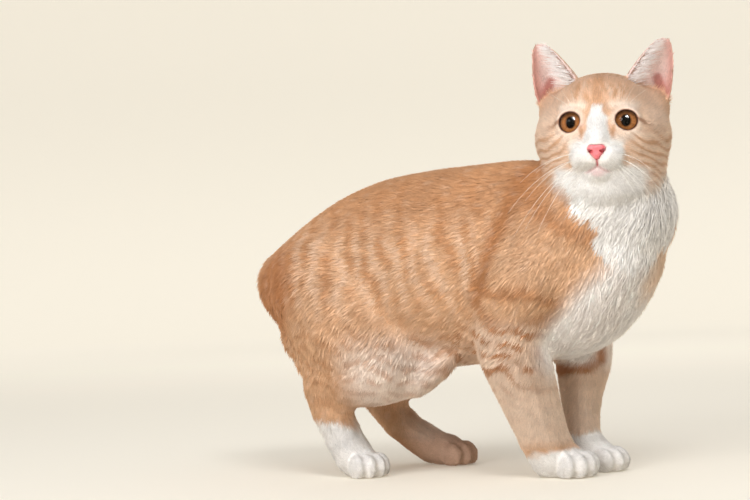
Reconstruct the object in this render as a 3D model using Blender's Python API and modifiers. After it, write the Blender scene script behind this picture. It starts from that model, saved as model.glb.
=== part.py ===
"""A life-size Manx cat, standing, with its head turned to its right.

Metres. +X runs towards the chest, +Y to the cat's left and +Z up. The cat is blocked out from simple
masses, fused and smoothed as one form, and then parted into named pieces by thin cuts.
"""

import math

import bmesh
import bpy
import numpy as np
from mathutils import Matrix, Vector
from mathutils.bvhtree import BVHTree

# Driving dimensions
EYE_SPACING = 0.0383  # between the eye centres
EYE_RADIUS = 0.0105
EYE_FORWARD = 0.0252  # of the eye centres, ahead of the middle of the skull
LID_RING = 0.0097  # from the eye's axis to the middle of the lid
LID_THICKNESS = 0.0036
LID_FORWARD = 0.0066  # of the middle of the lids, ahead of the eye centre
EYE_OPENING = (0.0083, 0.0077)  # half width and half height between the lids
EYE_TURN = (0, -4, 13)  # degrees by which an eye looks up and outwards
EYE_CORNER = (math.radians(200), 0.0022)  # where the lids are drawn out towards the nose, and how far
PAW_WIDTH = 0.035
MOUTH_GROOVE = 0.0007  # radius of the tube that cuts the line of the mouth

GAP = 0.0003  # kept between pieces that touch
EYE_SEGMENTS = 24
LID_STEPS = 32
BROAD_VOXEL = 0.0022  # grid on which the large masses fuse
FINE_VOXEL = 0.0014  # grid on which the features join them
BODY_THINNING = 0.35  # share of the fused triangles kept before the cuts
LOOSE = 0.004  # how far a piece reaches past its cuts while it is thinned

# Head pose: the point midway between the ears at eye height, and where the face looks
HEAD_CENTRE = Vector((0.1483, -0.012, 0.2675))
HEAD_TURN = math.radians(-73.5)
HEAD_TILT = math.radians(-0.7)

# Torso stations: distance forward, height of the back, height of the belly, half width
TORSO = (
    (-0.162, 0.169, 0.148, 0.014),
    (-0.157, 0.175, 0.140, 0.026),
    (-0.145, 0.1838, 0.122, 0.041),
    (-0.120, 0.2018, 0.100, 0.054),
    (-0.085, 0.2222, 0.085, 0.062),
    (-0.045, 0.2358, 0.078, 0.067),
    (0.000, 0.2418, 0.082, 0.068),
    (0.040, 0.2440, 0.0855, 0.065),
    (0.080, 0.2455, 0.087, 0.061),
    (0.115, 0.2420, 0.090, 0.058),
    (0.145, 0.2300, 0.102, 0.052),
    (0.166, 0.2150, 0.122, 0.043),
    (0.180, 0.1990, 0.146, 0.030),
    (0.188, 0.1840, 0.164, 0.014),
)
BELLY_FULLNESS = 0.10  # how much wider the belly is than the back

# Limb stations: x, y, z and radius
NECK = (
    (0.112, 0.000, 0.165, 0.059),
    (0.133, -0.002, 0.198, 0.055),
    (0.146, -0.006, 0.225, 0.0495),
    (0.150, -0.011, 0.250, 0.045),
)
FORELEG = {
    "right": (
        (0.094, -0.036, 0.150, 0.040),
        (0.079, -0.041, 0.112, 0.0300),
        (0.0832, -0.038, 0.085, 0.0270),
        (0.0900, -0.031, 0.055, 0.0228),
        (0.0958, -0.024, 0.030, 0.0198),
        (0.1005, -0.020, 0.016, 0.0190),
    ),
    "left": (
        (0.112, 0.036, 0.150, 0.038),
        (0.104, 0.036, 0.112, 0.0280),
        (0.1060, 0.033, 0.085, 0.0235),
        (0.1047, 0.029, 0.055, 0.0172),
        (0.1070, 0.026, 0.030, 0.0139),
        (0.1120, 0.025, 0.016, 0.0155),
    ),
}
HINDLEG = {
    "right": (
        (-0.088, -0.034, 0.150, 0.045),
        (-0.058, -0.042, 0.118, 0.047),
        (-0.027, -0.045, 0.091, 0.034),
        (-0.056, -0.048, 0.082, 0.028),
        (-0.079, -0.049, 0.077, 0.0215),
        (-0.0790, -0.048, 0.057, 0.0179),
        (-0.0688, -0.047, 0.033, 0.0158),
        (-0.060, -0.046, 0.016, 0.0160),
    ),
    "left": (
        (-0.088, 0.034, 0.150, 0.045),
        (-0.058, 0.042, 0.118, 0.047),
        (-0.046, 0.042, 0.092, 0.031),
        (-0.058, 0.042, 0.078, 0.025),
        (-0.085, 0.040, 0.070, 0.0195),
        (-0.0795, 0.041, 0.053, 0.0162),
        (-0.0605, 0.044, 0.031, 0.0148),
        (-0.037, 0.046, 0.015, 0.0150),
    ),
}
# Paws: place on the floor, heading, size
PAWS = {
    "fore_paw_right": (0.1115, -0.0175, math.radians(-22), 1.00),
    "fore_paw_left": (0.1204, 0.0235, math.radians(-4), 0.95),
    "hind_paw_right": (-0.0530, -0.0470, math.radians(-24), 0.95),
    "hind_paw_left": (-0.0216, 0.0455, math.radians(-3), 0.95),
}
TOES = ((-12.0, 8.5), (-4.4, 14.0), (4.4, 14.0), (12.0, 8.5))  # millimetres across and forward

# Masses as centre, radii and turn in degrees. One with a y other than 0 is made on both sides.
TRUNK_MASSES = (
    ((-68, 36, 132), (72, 33, 50), (0, 30, 0)),
    ((100, 33, 172), (42, 30, 56), (0, -18, 0)),
    ((-104, 36, 120), (25, 20, 32), (0, 15, 0)),
    ((-90, 43, 97), (24, 15, 24), (0, 0, 0)),
    ((160, 8, 174), (29, 28, 34), (0, 0, 0)),
    ((150, 16, 174), (34, 29, 37), (0, 0, 0)),
    ((164, 4, 201), (34.5, 38, 43), (0, 0, 0)),
    ((-150, 0, 166), (15, 16, 15), (0, 0, 0)),
)
# The fold of skin from the belly to the right knee, which stands forward on that side alone
FLANK_FOLD = (
    ((7, -39, 80.5), (31, 13, 12), (0, -33, 0)),
    ((-4, -41, 76), (22, 15, 15), (0, -20, 0)),
)
# The same as the trunk's masses for the head, in its own frame: x to the nose, z up from the line of the eyes
HEAD_MASSES = (
    ((-9, 0, 6), (43, 41, 34), (0, 0, 0)),
    ((10, 0, 12), (25, 31, 24), (0, 14, 0)),
    ((10, 0, -18), (30, 36, 26), (0, 0, 0)),
    ((20, 0, -30), (20, 24, 14.5), (0, 0, 0)),
    ((-3, 25, -10), (32, 27.8, 30), (0, 0, 0)),
    ((-15, 37.5, 11), (16, 14, 17), (0, 0, 0)),
    ((30, 0, -22), (20, 21, 16), (0, 0, 0)),
    ((22.5, 21.5, 0), (13, 12.5, 12.5), (0, 0, 12)),
    ((18, 24, -14), (15, 15, 12), (0, 0, 0)),
    ((19, 17, 12), (12, 13, 8.5), (0, 0, 0)),
)
FACE_MASSES = (
    ((37.5, 9.8, -27), (13.5, 11.8, 10.2), (0, 0, 16)),
    ((34.5, 0, -39), (12, 12, 7.8), (0, 0, 0)),
)

# Bridge of the nose, from the forehead down: x, y, z and radius in the head's frame
NOSE_BRIDGE = (
    (0.010, 0, 0.020, 0.016),
    (0.020, 0, 0.013, 0.014),
    (0.029, 0, 0.004, 0.0115),
    (0.037, 0, -0.006, 0.0092),
    (0.0425, 0, -0.014, 0.0084),
    (0.0435, 0, -0.019, 0.0082),
)

# Ear rims in the head's frame, millimetres, from the base to the tip, and how deep the cup is
EAR_INNER_RIM = (
    (-2, 13, 25),
    (-1, 20.5, 38),
    (-2, 28.2, 48.7),
    (-4, 36.6, 58),
    (-6.5, 42.8, 62.8),
    (-8, 45.8, 64.4),
)
EAR_OUTER_RIM = (
    (-16, 38, -3),
    (-11, 49.2, 15),
    (-9, 53, 31),
    (-9, 54, 46),
    (-8.5, 53.0, 58.0),
    (-8.5, 50.6, 63.6),
)
EAR_DEPTH = (20, 19, 14.5, 9, 4, 1.8)
EAR_WALL = (2.8, 2.4, 2.1, 1.8, 1.6, 1.4)
EAR_STEPS = 2  # sections from one row of the tables to the next
EAR_POINTS = 11  # along each face of a section
EAR_HOLLOW = (0.12, 0.26)  # share of the height where the cup begins to open, and over which it does

# Nose leather: height against half width, and how the sections shrink towards the front
NOSE_OUTLINE = (
    (-17.8, 4.2),
    (-18.4, 5.9),
    (-20.0, 6.8),
    (-22.2, 6.2),
    (-24.6, 4.2),
    (-26.4, 2.3),
    (-28.2, 1.4),
)
NOSE_SECTIONS = ((42, 1.0), (50.0, 1.0), (51.6, 0.95), (52.6, 0.82), (53.2, 0.55))
NOSE_RAKE = 0.22  # how far the leather falls back below its top edge
NOSTRIL = ((52.0, 3.9, -22.6), (3.4, 1.8, 1.15), (-28, 0, 0))

# Line of the mouth: across and up in the head's frame, laid on the face
PHILTRUM = ((0.0, -29.3), (0.0, -31.3), (0.0, -33.4))
LIP_LINE = ((0.0, -33.4), (3.5, -35.4), (7.5, -37.0), (11.0, -37.3), (14.0, -36.6))

# The flat cuts that part a piece from the rest: a point on the plane and the way out of the piece
CUTS = {
    "fore_paw_right": (((0.104, -0.020, 0.027), (-0.25, 0.15, 1.0)),),
    "fore_paw_left": (((0.117, 0.025, 0.027), (-0.18, 0.10, 1.0)),),
    "hind_paw_right": (((-0.062, -0.046, 0.026), (-0.35, 0.0, 1.0)),),
    "hind_paw_left": (((-0.036, 0.046, 0.025), (-0.60, 0.0, 1.0)),),
    "forearm_right": (((0.080, -0.038, 0.090), (-0.10, 0.10, 1.0)),),
    "forearm_left": (((0.105, 0.033, 0.090), (0.05, -0.10, 1.0)),),
    "metatarsus_right": (((-0.074, -0.049, 0.080), (0.55, 0.10, 1.0)),),
    "metatarsus_left": (((-0.074, 0.040, 0.077), (0.70, -0.10, 1.0)),),
    "upper_arm_right": (((0.090, -0.034, 0.150), (0.0, 0.86, 0.50)),),
    "upper_arm_left": (((0.105, 0.034, 0.150), (0.0, -0.86, 0.50)),),
    "thigh_right": (((-0.070, -0.034, 0.130), (0.0, 0.84, 0.54)),),
    "thigh_left": (((-0.070, 0.034, 0.130), (0.0, -0.84, 0.54)),),
    "tail_stub": (((-0.1575, 0.0, 0.163), (1.0, 0.0, 0.0)),),
    "head": (((0.137, -0.006, 0.244), (-0.25, 0.50, -0.83)),),
    "neck": (((0.140, 0.0, 0.205), (-0.62, 0.0, -0.78)),),
    "torso": (),
}
# A limb's pieces also keep to their own quarter of the plan
FORE_LIMIT = ((0.035, 0.0, 0.0), (-1.0, 0.0, 0.0))
ARM_LIMIT = ((0.062, 0.0, 0.16), (-1.0, 0.0, -0.35))
THIGH_LIMIT = ((-0.012, 0.0, 0.12), (1.0, 0.0, 0.55))
HIND_LIMIT = ((0.035, 0.0, 0.0), (1.0, 0.0, 0.0))
RIGHT_LIMIT = ((0.0, 0.0032, 0.0), (0.0, 1.0, 0.0))
LEFT_LIMIT = ((0.0, 0.0035, 0.0), (0.0, -1.0, 0.0))
FLOOR = ((0.0, 0.0, 0.0), (0.0, 0.0, -1.0))

# Triangles that each piece is thinned to before it is cut to shape
TRIANGLES = {
    "head": 3900,
    "neck": 1100,
    "torso": 7000,
    "tail_stub": 160,
    "paw": 450,
    "lower": 400,
    "upper": 850,
}

# Colour and roughness
LOOKS = {
    "orange_coat": ((0.62, 0.33, 0.16), 0.85),
    "white_coat": ((0.86, 0.83, 0.79), 0.85),
    "ear_skin": ((0.80, 0.50, 0.44), 0.7),
    "iris": ((0.45, 0.20, 0.04), 0.1),
    "nose_leather": ((0.75, 0.27, 0.30), 0.5),
}
WHITE_PIECES = ("fore_paw_right", "fore_paw_left", "hind_paw_right")

SIDES = {"right": -1, "left": 1}  # the cat's left is +Y


def mm(values):
    """Millimetres as a vector in metres."""
    return Vector(values) * 0.001


def head_matrix():
    """From the head's own frame to the model's."""
    turn = Matrix.Rotation(HEAD_TURN, 4, "Z") @ Matrix.Rotation(HEAD_TILT, 4, "X")
    return Matrix.Translation(HEAD_CENTRE) @ turn


def turned(degrees):
    """A rotation by degrees about x, then y, then z."""
    spin = Matrix.Rotation(math.radians(degrees[2]), 4, "Z")
    spin = spin @ Matrix.Rotation(math.radians(degrees[1]), 4, "Y")
    return spin @ Matrix.Rotation(math.radians(degrees[0]), 4, "X")


def smooth_rows(rows, steps):
    """Catmull-Rom interpolation through rows of numbers, with this many steps from one to the next."""
    rows = np.array(rows, float).reshape(len(rows), -1)
    padded = np.vstack([2 * rows[0] - rows[1], rows, 2 * rows[-1] - rows[-2]])
    made = []
    for i in range(1, len(padded) - 2):
        a, b, c, d = padded[i - 1 : i + 3]
        for t in np.arange(steps) / steps:
            bend = (2 * a - 5 * b + 4 * c - d) * t**2 + (3 * b - a - 3 * c + d) * t**3
            made.append(0.5 * (2 * b + (c - a) * t + bend))
    made.append(rows[-1])
    return np.array(made)


def loft(clay, rings):
    """Skins a row of equal rings and closes both ends."""
    rows = [[clay.verts.new(point) for point in ring] for ring in rings]
    for near, far in zip(rows, rows[1:]):
        for i in range(len(near)):
            j = (i + 1) % len(near)
            clay.faces.new((near[i], near[j], far[j], far[i]))
    clay.faces.new(rows[0][::-1])
    clay.faces.new(rows[-1])


def add_ball(clay, place, radii, segments=32):
    """An ellipsoid mass, skinned from one pole to the other."""
    shape = place @ Matrix.Diagonal((*radii, 1))
    rings = []
    for i in range(segments // 2):
        rise = math.pi * (i + 0.5) / (segments // 2)
        spokes = [k * math.tau / segments for k in range(segments)]
        width, height = math.sin(rise), math.cos(rise)
        rings.append([shape @ Vector((width * math.cos(a), width * math.sin(a), height)) for a in spokes])
    loft(clay, rings)


def add_masses(clay, masses, frame, both=True):
    """Ellipsoids in millimetres; those off the middle plane are made on both sides."""
    for (x, y, z), radii, (roll, pitch, yaw) in masses:
        for s in SIDES.values() if y and both else (1,):
            place = Matrix.Translation(mm((x, y * s, z))) @ turned((roll * s, pitch, yaw * s))
            add_ball(clay, frame @ place, mm(radii))


def add_torso(clay):
    """Egg-shaped sections from the rump to the breast."""
    rings = []
    angles = np.linspace(0, 2 * math.pi, 40, endpoint=False)
    for x, top, bottom, half in smooth_rows(TORSO, 4):
        middle, reach = (top + bottom) / 2, (top - bottom) / 2
        across = half * np.cos(angles) * (1 - BELLY_FULLNESS * np.sin(angles))
        up = middle + reach * np.sin(angles)
        rings.append([(x, y, z) for y, z in zip(across, up)])
    loft(clay, rings)


def tube(clay, rows, spokes=24):
    """A loft of circles through rows of x, y, z and radius."""
    points = [Vector(row[:3]) for row in rows]
    rings = []
    for i, row in enumerate(rows):
        along = (points[min(i + 1, len(points) - 1)] - points[max(i - 1, 0)]).normalized()
        across = along.cross(Vector((0.1, 1, 0.1))).normalized()
        other = along.cross(across)
        angles = [k * math.tau / spokes for k in range(spokes)]
        rings.append([points[i] + (across * math.cos(a) + other * math.sin(a)) * row[3] for a in angles])
    loft(clay, rings)


def add_limb(clay, stations, frame=None):
    """A tube of changing radius through the stations, with a ball at each end."""
    rows = smooth_rows(stations, 5)
    if frame is not None:
        rows = [(*(frame @ Vector(row[:3])), row[3]) for row in rows]
    tube(clay, rows)
    for row in (rows[0], rows[-1]):
        add_ball(clay, Matrix.Translation(row[:3]), (row[3],) * 3)


def paw_frame(place):
    """From a paw's own frame, in which it is 35 millimetres wide, to the model's."""
    x, y, heading, size = place
    scale = Matrix.Scale(size * PAW_WIDTH / 0.035, 4)
    return Matrix.Translation((x, y, 0)) @ Matrix.Rotation(heading, 4, "Z") @ scale


def add_paw(clay, place):
    """The body of a paw; it reaches below the floor, where it is cut flat."""
    middle = Matrix.Translation(mm((-4, 0, 12.5))) @ turned((0, 12, 0))
    add_ball(clay, paw_frame(place) @ middle, mm((21, 15.5, 15)))


def add_toes(clay, place):
    """Four toes."""
    for across, forward in TOES:
        toe = Matrix.Translation(mm((forward, across, 9.2))) @ turned((0, 16, across * 0.9))
        add_ball(clay, paw_frame(place) @ toe, mm((11.5, 5.8, 10.8)), 24)


def eye_frame(side):
    """The eye's place in the model, with x along its axis."""
    s = SIDES[side]
    place = Matrix.Translation((EYE_FORWARD, EYE_SPACING / 2 * s, 0))
    roll, rise, yaw = EYE_TURN
    return head_matrix() @ place @ turned((roll, rise, yaw * s))


def add_lids(clay, side):
    """The ring of the lids, round the eye and drawn out a little towards the nose."""
    corner, drawn_out = EYE_CORNER
    wide, high = EYE_OPENING
    rows = []
    for a in np.linspace(0, math.tau, LID_STEPS + 1):
        inward = max(0.0, math.cos(a - corner)) ** 6 * drawn_out
        reach = LID_RING + inward
        y, z = reach * math.cos(a) * SIDES[side], reach * math.sin(a) * high / wide
        rows.append((*(eye_frame(side) @ Vector((LID_FORWARD - inward / 2, y, z))), LID_THICKNESS / 2))
    for near, far in zip(rows, rows[1:]):
        tube(clay, (near, far), 10)
        add_ball(clay, Matrix.Translation(near[:3]), (near[3],) * 3, 10)


def object_from(clay, name):
    """A Blender object of a bmesh."""
    mesh = bpy.data.meshes.new(name)
    bmesh.ops.recalc_face_normals(clay, faces=clay.faces)
    clay.to_mesh(mesh)
    clay.free()
    obj = bpy.data.objects.new(name, mesh)
    bpy.context.scene.collection.objects.link(obj)
    return obj


def copy_of(obj, name):
    """A separate copy of an object."""
    made = bpy.data.objects.new(name, obj.data.copy())
    bpy.context.scene.collection.objects.link(made)
    return made


def apply_modifiers(obj):
    """Makes the evaluated mesh the object's own."""
    bpy.context.view_layer.update()
    graph = bpy.context.evaluated_depsgraph_get()
    made = bpy.data.meshes.new_from_object(obj.evaluated_get(graph))
    obj.modifiers.clear()
    old = obj.data
    obj.data = made
    bpy.data.meshes.remove(old)


def fuse(obj, voxel):
    """One closed skin round everything in the object."""
    remesh = obj.modifiers.new("fuse", "REMESH")
    remesh.mode = "VOXEL"
    remesh.voxel_size = voxel
    apply_modifiers(obj)


def points_of(obj):
    """The points of an object's mesh as rows."""
    points = np.empty(len(obj.data.vertices) * 3)
    obj.data.vertices.foreach_get("co", points)
    return points.reshape(-1, 3)


def fineness(points):
    """1 on the head and paws, 0 on the torso: where the form is small."""
    face = np.array(head_matrix() @ Vector((0.032, 0, -0.010)))
    head = np.clip((0.056 - np.linalg.norm(points - face, axis=1)) / 0.024, 0, 1)
    paws = np.clip((0.060 - points[:, 2]) / 0.030, 0, 1)
    return np.maximum(head, paws)


def soften(obj, repeats, weight=None):
    """Smooths the surface, more where the weight is larger."""
    smooth = obj.modifiers.new("soften", "SMOOTH")
    smooth.factor = 0.5
    smooth.iterations = repeats
    if weight is not None:
        group = obj.vertex_groups.new(name="weight")
        levels = np.round(np.clip(weight(points_of(obj)), 0, 1) * 10)
        for level in range(1, 11):
            group.add(np.flatnonzero(levels == level).tolist(), level / 10, "REPLACE")
        smooth.vertex_group = "weight"
    apply_modifiers(obj)
    obj.vertex_groups.clear()


def make_body():
    """The whole cat without ears and eyes, as one smooth form."""
    clay = bmesh.new()
    add_torso(clay)
    add_limb(clay, NECK)
    for side in SIDES:
        add_limb(clay, FORELEG[side])
        add_limb(clay, HINDLEG[side])
    for place in PAWS.values():
        add_paw(clay, place)
    add_masses(clay, TRUNK_MASSES, Matrix.Identity(4))
    add_masses(clay, FLANK_FOLD, Matrix.Identity(4), both=False)
    add_masses(clay, HEAD_MASSES, head_matrix())
    add_limb(clay, NOSE_BRIDGE, head_matrix())
    body = object_from(clay, "clay")
    fuse(body, BROAD_VOXEL)
    soften(body, 50, lambda points: 1 - fineness(points))
    soften(body, 8)
    clay = bmesh.new()
    clay.from_mesh(body.data)
    for place in PAWS.values():
        add_toes(clay, place)
    add_masses(clay, FACE_MASSES, head_matrix())
    add_limb(clay, NOSE_BRIDGE[2:], head_matrix())
    for side in SIDES:
        add_lids(clay, side)
    bpy.data.objects.remove(body)
    body = object_from(clay, "clay")
    fuse(body, FINE_VOXEL)
    soften(body, 8, lambda points: 1 - fineness(points))
    soften(body, 3)
    thin = body.modifiers.new("thin", "DECIMATE")
    thin.ratio = BODY_THINNING
    apply_modifiers(body)
    return body


def boolean(obj, other, operation, solver="EXACT"):
    """Cuts or keeps what another object covers, and removes that object."""
    change = obj.modifiers.new("cut", "BOOLEAN")
    change.operation = operation
    change.object = other
    change.solver = solver
    apply_modifiers(obj)
    bpy.data.objects.remove(other)


def half_spaces(planes, grow):
    """The convex block inside a set of planes, grown outwards."""
    clay = bmesh.new()
    bmesh.ops.create_cube(clay, size=1.2)
    for point, outward in planes:
        normal = Vector(outward).normalized()
        everything = clay.verts[:] + clay.edges[:] + clay.faces[:]
        at = Vector(point) + normal * grow
        bmesh.ops.bisect_plane(clay, geom=everything, plane_co=at, plane_no=normal, clear_outer=True)
        rim = [edge for edge in clay.edges if edge.is_boundary]
        bmesh.ops.holes_fill(clay, edges=rim)
    return object_from(clay, "block")


def planes_of(name):
    """All the planes that bound a piece."""
    planes = list(CUTS[name])
    if name.startswith("upper_arm"):
        planes.append(ARM_LIMIT)
    if name.startswith("thigh"):
        planes.append(THIGH_LIMIT)
    if "arm" in name or "fore_paw" in name:
        planes.append(FORE_LIMIT)
    if name.split("_")[0] in ("thigh", "metatarsus", "hind"):
        planes.append(HIND_LIMIT)
    if name.endswith("right"):
        planes.append(RIGHT_LIMIT)
    if name.endswith("left"):
        planes.append(LEFT_LIMIT)
    return planes


def kind_of(name):
    """Which row of the triangle table a piece takes."""
    if "paw" in name:
        return "paw"
    if "forearm" in name or "metatarsus" in name:
        return "lower"
    if "upper_arm" in name or "thigh" in name:
        return "upper"
    return name


def keep_largest(obj):
    """Drops every closed surface but the largest."""
    clay = bmesh.new()
    clay.from_mesh(obj.data)
    bmesh.ops.triangulate(clay, faces=clay.faces)
    left = set(clay.faces)
    shells = []
    while left:
        shell, front = set(), [left.pop()]
        while front:
            face = front.pop()
            shell.add(face)
            near = [other for edge in face.edges for other in edge.link_faces if other in left]
            left.difference_update(near)
            front.extend(near)
        shells.append(shell)
    shells.sort(key=lambda shell: -sum(face.calc_area() for face in shell))
    extra = [face for shell in shells[1:] for face in shell]
    bmesh.ops.delete(clay, geom=extra, context="FACES")
    clay.to_mesh(obj.data)
    clay.free()


def thin_out(obj, triangles):
    """Reduces an object to about this many triangles."""
    keep_largest(obj)
    thin = obj.modifiers.new("thin", "DECIMATE")
    thin.ratio = min(1.0, triangles / len(obj.data.polygons))
    apply_modifiers(obj)


def part_body(body):
    """Parts the body into its named pieces, each thinned on its own."""
    pieces = {}
    earlier = []
    for name in CUTS:
        planes = planes_of(name)
        piece = copy_of(body, name)
        boolean(piece, half_spaces(planes, LOOSE), "INTERSECT", "MANIFOLD")
        thin_out(piece, TRIANGLES[kind_of(name)])
        boolean(piece, half_spaces([*planes, FLOOR], 0), "INTERSECT")
        for other in earlier:
            boolean(piece, half_spaces(planes_of(other), GAP), "DIFFERENCE")
        keep_largest(piece)
        pieces[name] = piece
        earlier.append(name)
    bpy.data.objects.remove(body)
    return pieces


def grown_copy(obj, distance):
    """A copy of an object with its surface moved outwards."""
    made = copy_of(obj, "grown")
    swell = made.modifiers.new("swell", "DISPLACE")
    swell.strength = distance
    swell.mid_level = 0
    apply_modifiers(made)
    return made


def ear_rings(side):
    """Crescent sections of an ear, from its base to its tip."""
    inner = smooth_rows(EAR_INNER_RIM, EAR_STEPS)
    outer = smooth_rows(EAR_OUTER_RIM, EAR_STEPS)
    depths = smooth_rows(EAR_DEPTH, EAR_STEPS)
    walls = smooth_rows(EAR_WALL, EAR_STEPS)
    bend = np.linspace(0, math.pi, EAR_POINTS)
    opens, over = EAR_HOLLOW
    rings = []
    for i in range(len(inner)):
        near, far = Vector(inner[i]), Vector(outer[i])
        chord = far - near
        unit = chord.normalized()
        back = Vector((-1, 0, 0))
        back = (back - unit * back.dot(unit)).normalized()
        depth, wall = float(depths[i][0]), float(walls[i][0])
        hollow = min(1.0, max(0.0, (i / (len(inner) - 1) - opens) / over))
        deep = max(0.3, (depth - wall) * hollow)
        first, width = near + unit * wall * 0.8, chord.length - wall * 1.6
        points = []
        for b in bend:
            along, out = (1 - math.cos(b)) / 2, math.sin(b) ** 0.8
            points.append(near + chord * along + back * depth * out)
        for b in bend[::-1]:
            along, out = (1 - math.cos(b)) / 2, math.sin(b) ** 0.8
            points.append(first + unit * width * along + back * (deep * out - 0.25))
        rings.append([head_matrix() @ mm((x, y * SIDES[side], z)) for x, y, z in points])
    return rings


def make_ear(side, head):
    """The cup of an ear, cut to sit on the head."""
    clay = bmesh.new()
    loft(clay, ear_rings(side))
    ear = object_from(clay, "ear_" + side)
    boolean(ear, grown_copy(head, GAP), "DIFFERENCE")
    keep_largest(ear)
    return ear


def ball_object(place, radii, segments):
    """An ellipsoid as an object of its own."""
    clay = bmesh.new()
    shape = place @ Matrix.Diagonal((*radii, 1))
    bmesh.ops.create_uvsphere(clay, u_segments=segments, v_segments=segments // 2, radius=1, matrix=shape)
    return object_from(clay, "ball")


def make_eye(side, head):
    """An eyeball, and its socket in the head."""
    socket = (EYE_RADIUS + GAP,) * 3
    axis = Matrix.Rotation(math.pi / 2, 4, "Y")
    boolean(head, ball_object(eye_frame(side) @ axis, socket, EYE_SEGMENTS), "DIFFERENCE")
    wide, high = EYE_OPENING
    slit = eye_frame(side) @ Matrix.Translation((EYE_RADIUS, 0, 0)) @ axis
    boolean(head, ball_object(slit, (high, wide, EYE_RADIUS * 0.75), EYE_SEGMENTS), "DIFFERENCE")
    eye = ball_object(eye_frame(side) @ axis, (EYE_RADIUS,) * 3, EYE_SEGMENTS)
    eye.name = "eye_" + side
    return eye


def nose_loft(grow):
    """The block of the nose leather, grown outwards in millimetres."""
    left = [(y + grow, z) for z, y in NOSE_OUTLINE]
    left[0] = (left[0][0], left[0][1] + grow)
    left[-1] = (left[-1][0], left[-1][1] - grow)
    outline = left + [(-y, z) for y, z in left[::-1]]
    top, middle = outline[0][1], sum(z for y, z in outline) / len(outline)
    root = NOSE_SECTIONS[0][0]
    rings = []
    for x, scale in NOSE_SECTIONS:
        ring = []
        for y, z in outline:
            high = middle + (z - middle) * scale
            forward = x + (grow if x > root else -grow) + (high - top) * NOSE_RAKE
            ring.append(head_matrix() @ mm((forward, y * scale, high)))
        rings.append(ring)
    clay = bmesh.new()
    loft(clay, rings)
    return object_from(clay, "nose")


def make_nose(head):
    """The nose leather with its nostrils, and its seat in the head."""
    boolean(head, nose_loft(GAP * 1000), "DIFFERENCE")
    nose = nose_loft(0)
    centre, radii, turn = NOSTRIL
    for piece in (nose, head):
        for s in SIDES.values():
            place = Matrix.Translation(mm((centre[0], centre[1] * s, centre[2])))
            place = head_matrix() @ place @ turned((turn[0] * s, turn[1], turn[2] * s))
            boolean(piece, ball_object(place, mm(radii), 12), "DIFFERENCE")
    keep_largest(nose)
    return nose


def groove(head, line):
    """Cuts a rounded groove into the face along a line given across and up."""
    tree = BVHTree.FromObject(head, bpy.context.evaluated_depsgraph_get())
    frame = head_matrix()
    forward = (frame.to_3x3() @ Vector((1, 0, 0))).normalized()
    rows = []
    for y, z in smooth_rows(line, 4):
        start = frame @ mm((90, y, z))
        hit = tree.ray_cast(start, -forward)[0]
        rows.append((*hit, MOUTH_GROOVE))
    clay = bmesh.new()
    tube(clay, rows, 8)
    boolean(head, object_from(clay, "groove"), "DIFFERENCE")


def cut_mouth(head):
    """The philtrum and the line of the lips."""
    groove(head, PHILTRUM)
    for s in SIDES.values():
        groove(head, [(y * s, z) for y, z in LIP_LINE])


def material(name):
    """A plain material of the table."""
    colour, roughness = LOOKS[name]
    made = bpy.data.materials.get(name) or bpy.data.materials.new(name)
    made.use_nodes = True
    shader = made.node_tree.nodes["Principled BSDF"]
    shader.inputs["Base Color"].default_value = (*colour, 1)
    shader.inputs["Roughness"].default_value = roughness
    shader.inputs["Metallic"].default_value = 0
    made.diffuse_color = (*colour, 1)
    return made


def look_of(name):
    """Which material a piece has."""
    if name.startswith("eye"):
        return "iris"
    if name == "nose":
        return "nose_leather"
    if name.startswith("ear"):
        return "ear_skin"
    return "white_coat" if name in WHITE_PIECES else "orange_coat"


def finish(pieces):
    """Names, colours and collects the pieces, with the middle of the cat's base at the origin."""
    corners = np.vstack([points_of(piece) for piece in pieces.values()])
    low, high = corners.min(axis=0), corners.max(axis=0)
    shift = Matrix.Translation((-(low[0] + high[0]) / 2, -(low[1] + high[1]) / 2, -low[2]))
    home = bpy.data.collections.new("manx_cat")
    bpy.context.scene.collection.children.link(home)
    for name, piece in pieces.items():
        piece.name = name
        piece.data.name = name
        piece.data.transform(shift)
        piece.data.materials.clear()
        piece.data.materials.append(material(look_of(name)))
        bpy.context.scene.collection.objects.unlink(piece)
        home.objects.link(piece)


def main():
    for obj in list(bpy.data.objects):
        bpy.data.objects.remove(obj)
    pieces = part_body(make_body())
    head = pieces["head"]
    for side in SIDES:
        pieces["ear_" + side] = make_ear(side, head)
    pieces["nose"] = make_nose(head)
    cut_mouth(head)
    for side in SIDES:
        pieces["eye_" + side] = make_eye(side, head)
    keep_largest(head)
    finish(pieces)


main()
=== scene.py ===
"""The looks of the Manx cat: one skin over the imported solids, a short coat of solid tufts that carries the
same markings, eyes, nose, ear hair, whiskers, a floor, soft lights and the camera.

Metres, in the frame's own coordinates: +X towards the chest, +Y to the cat's left, +Z up. Places on the head
are in its own frame, in millimetres: forward, to the cat's left, and up from the eyes.
"""

import math

import bmesh
import bpy
import numpy as np
from mathutils import Matrix, Vector
from mathutils.bvhtree import BVHTree


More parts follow.
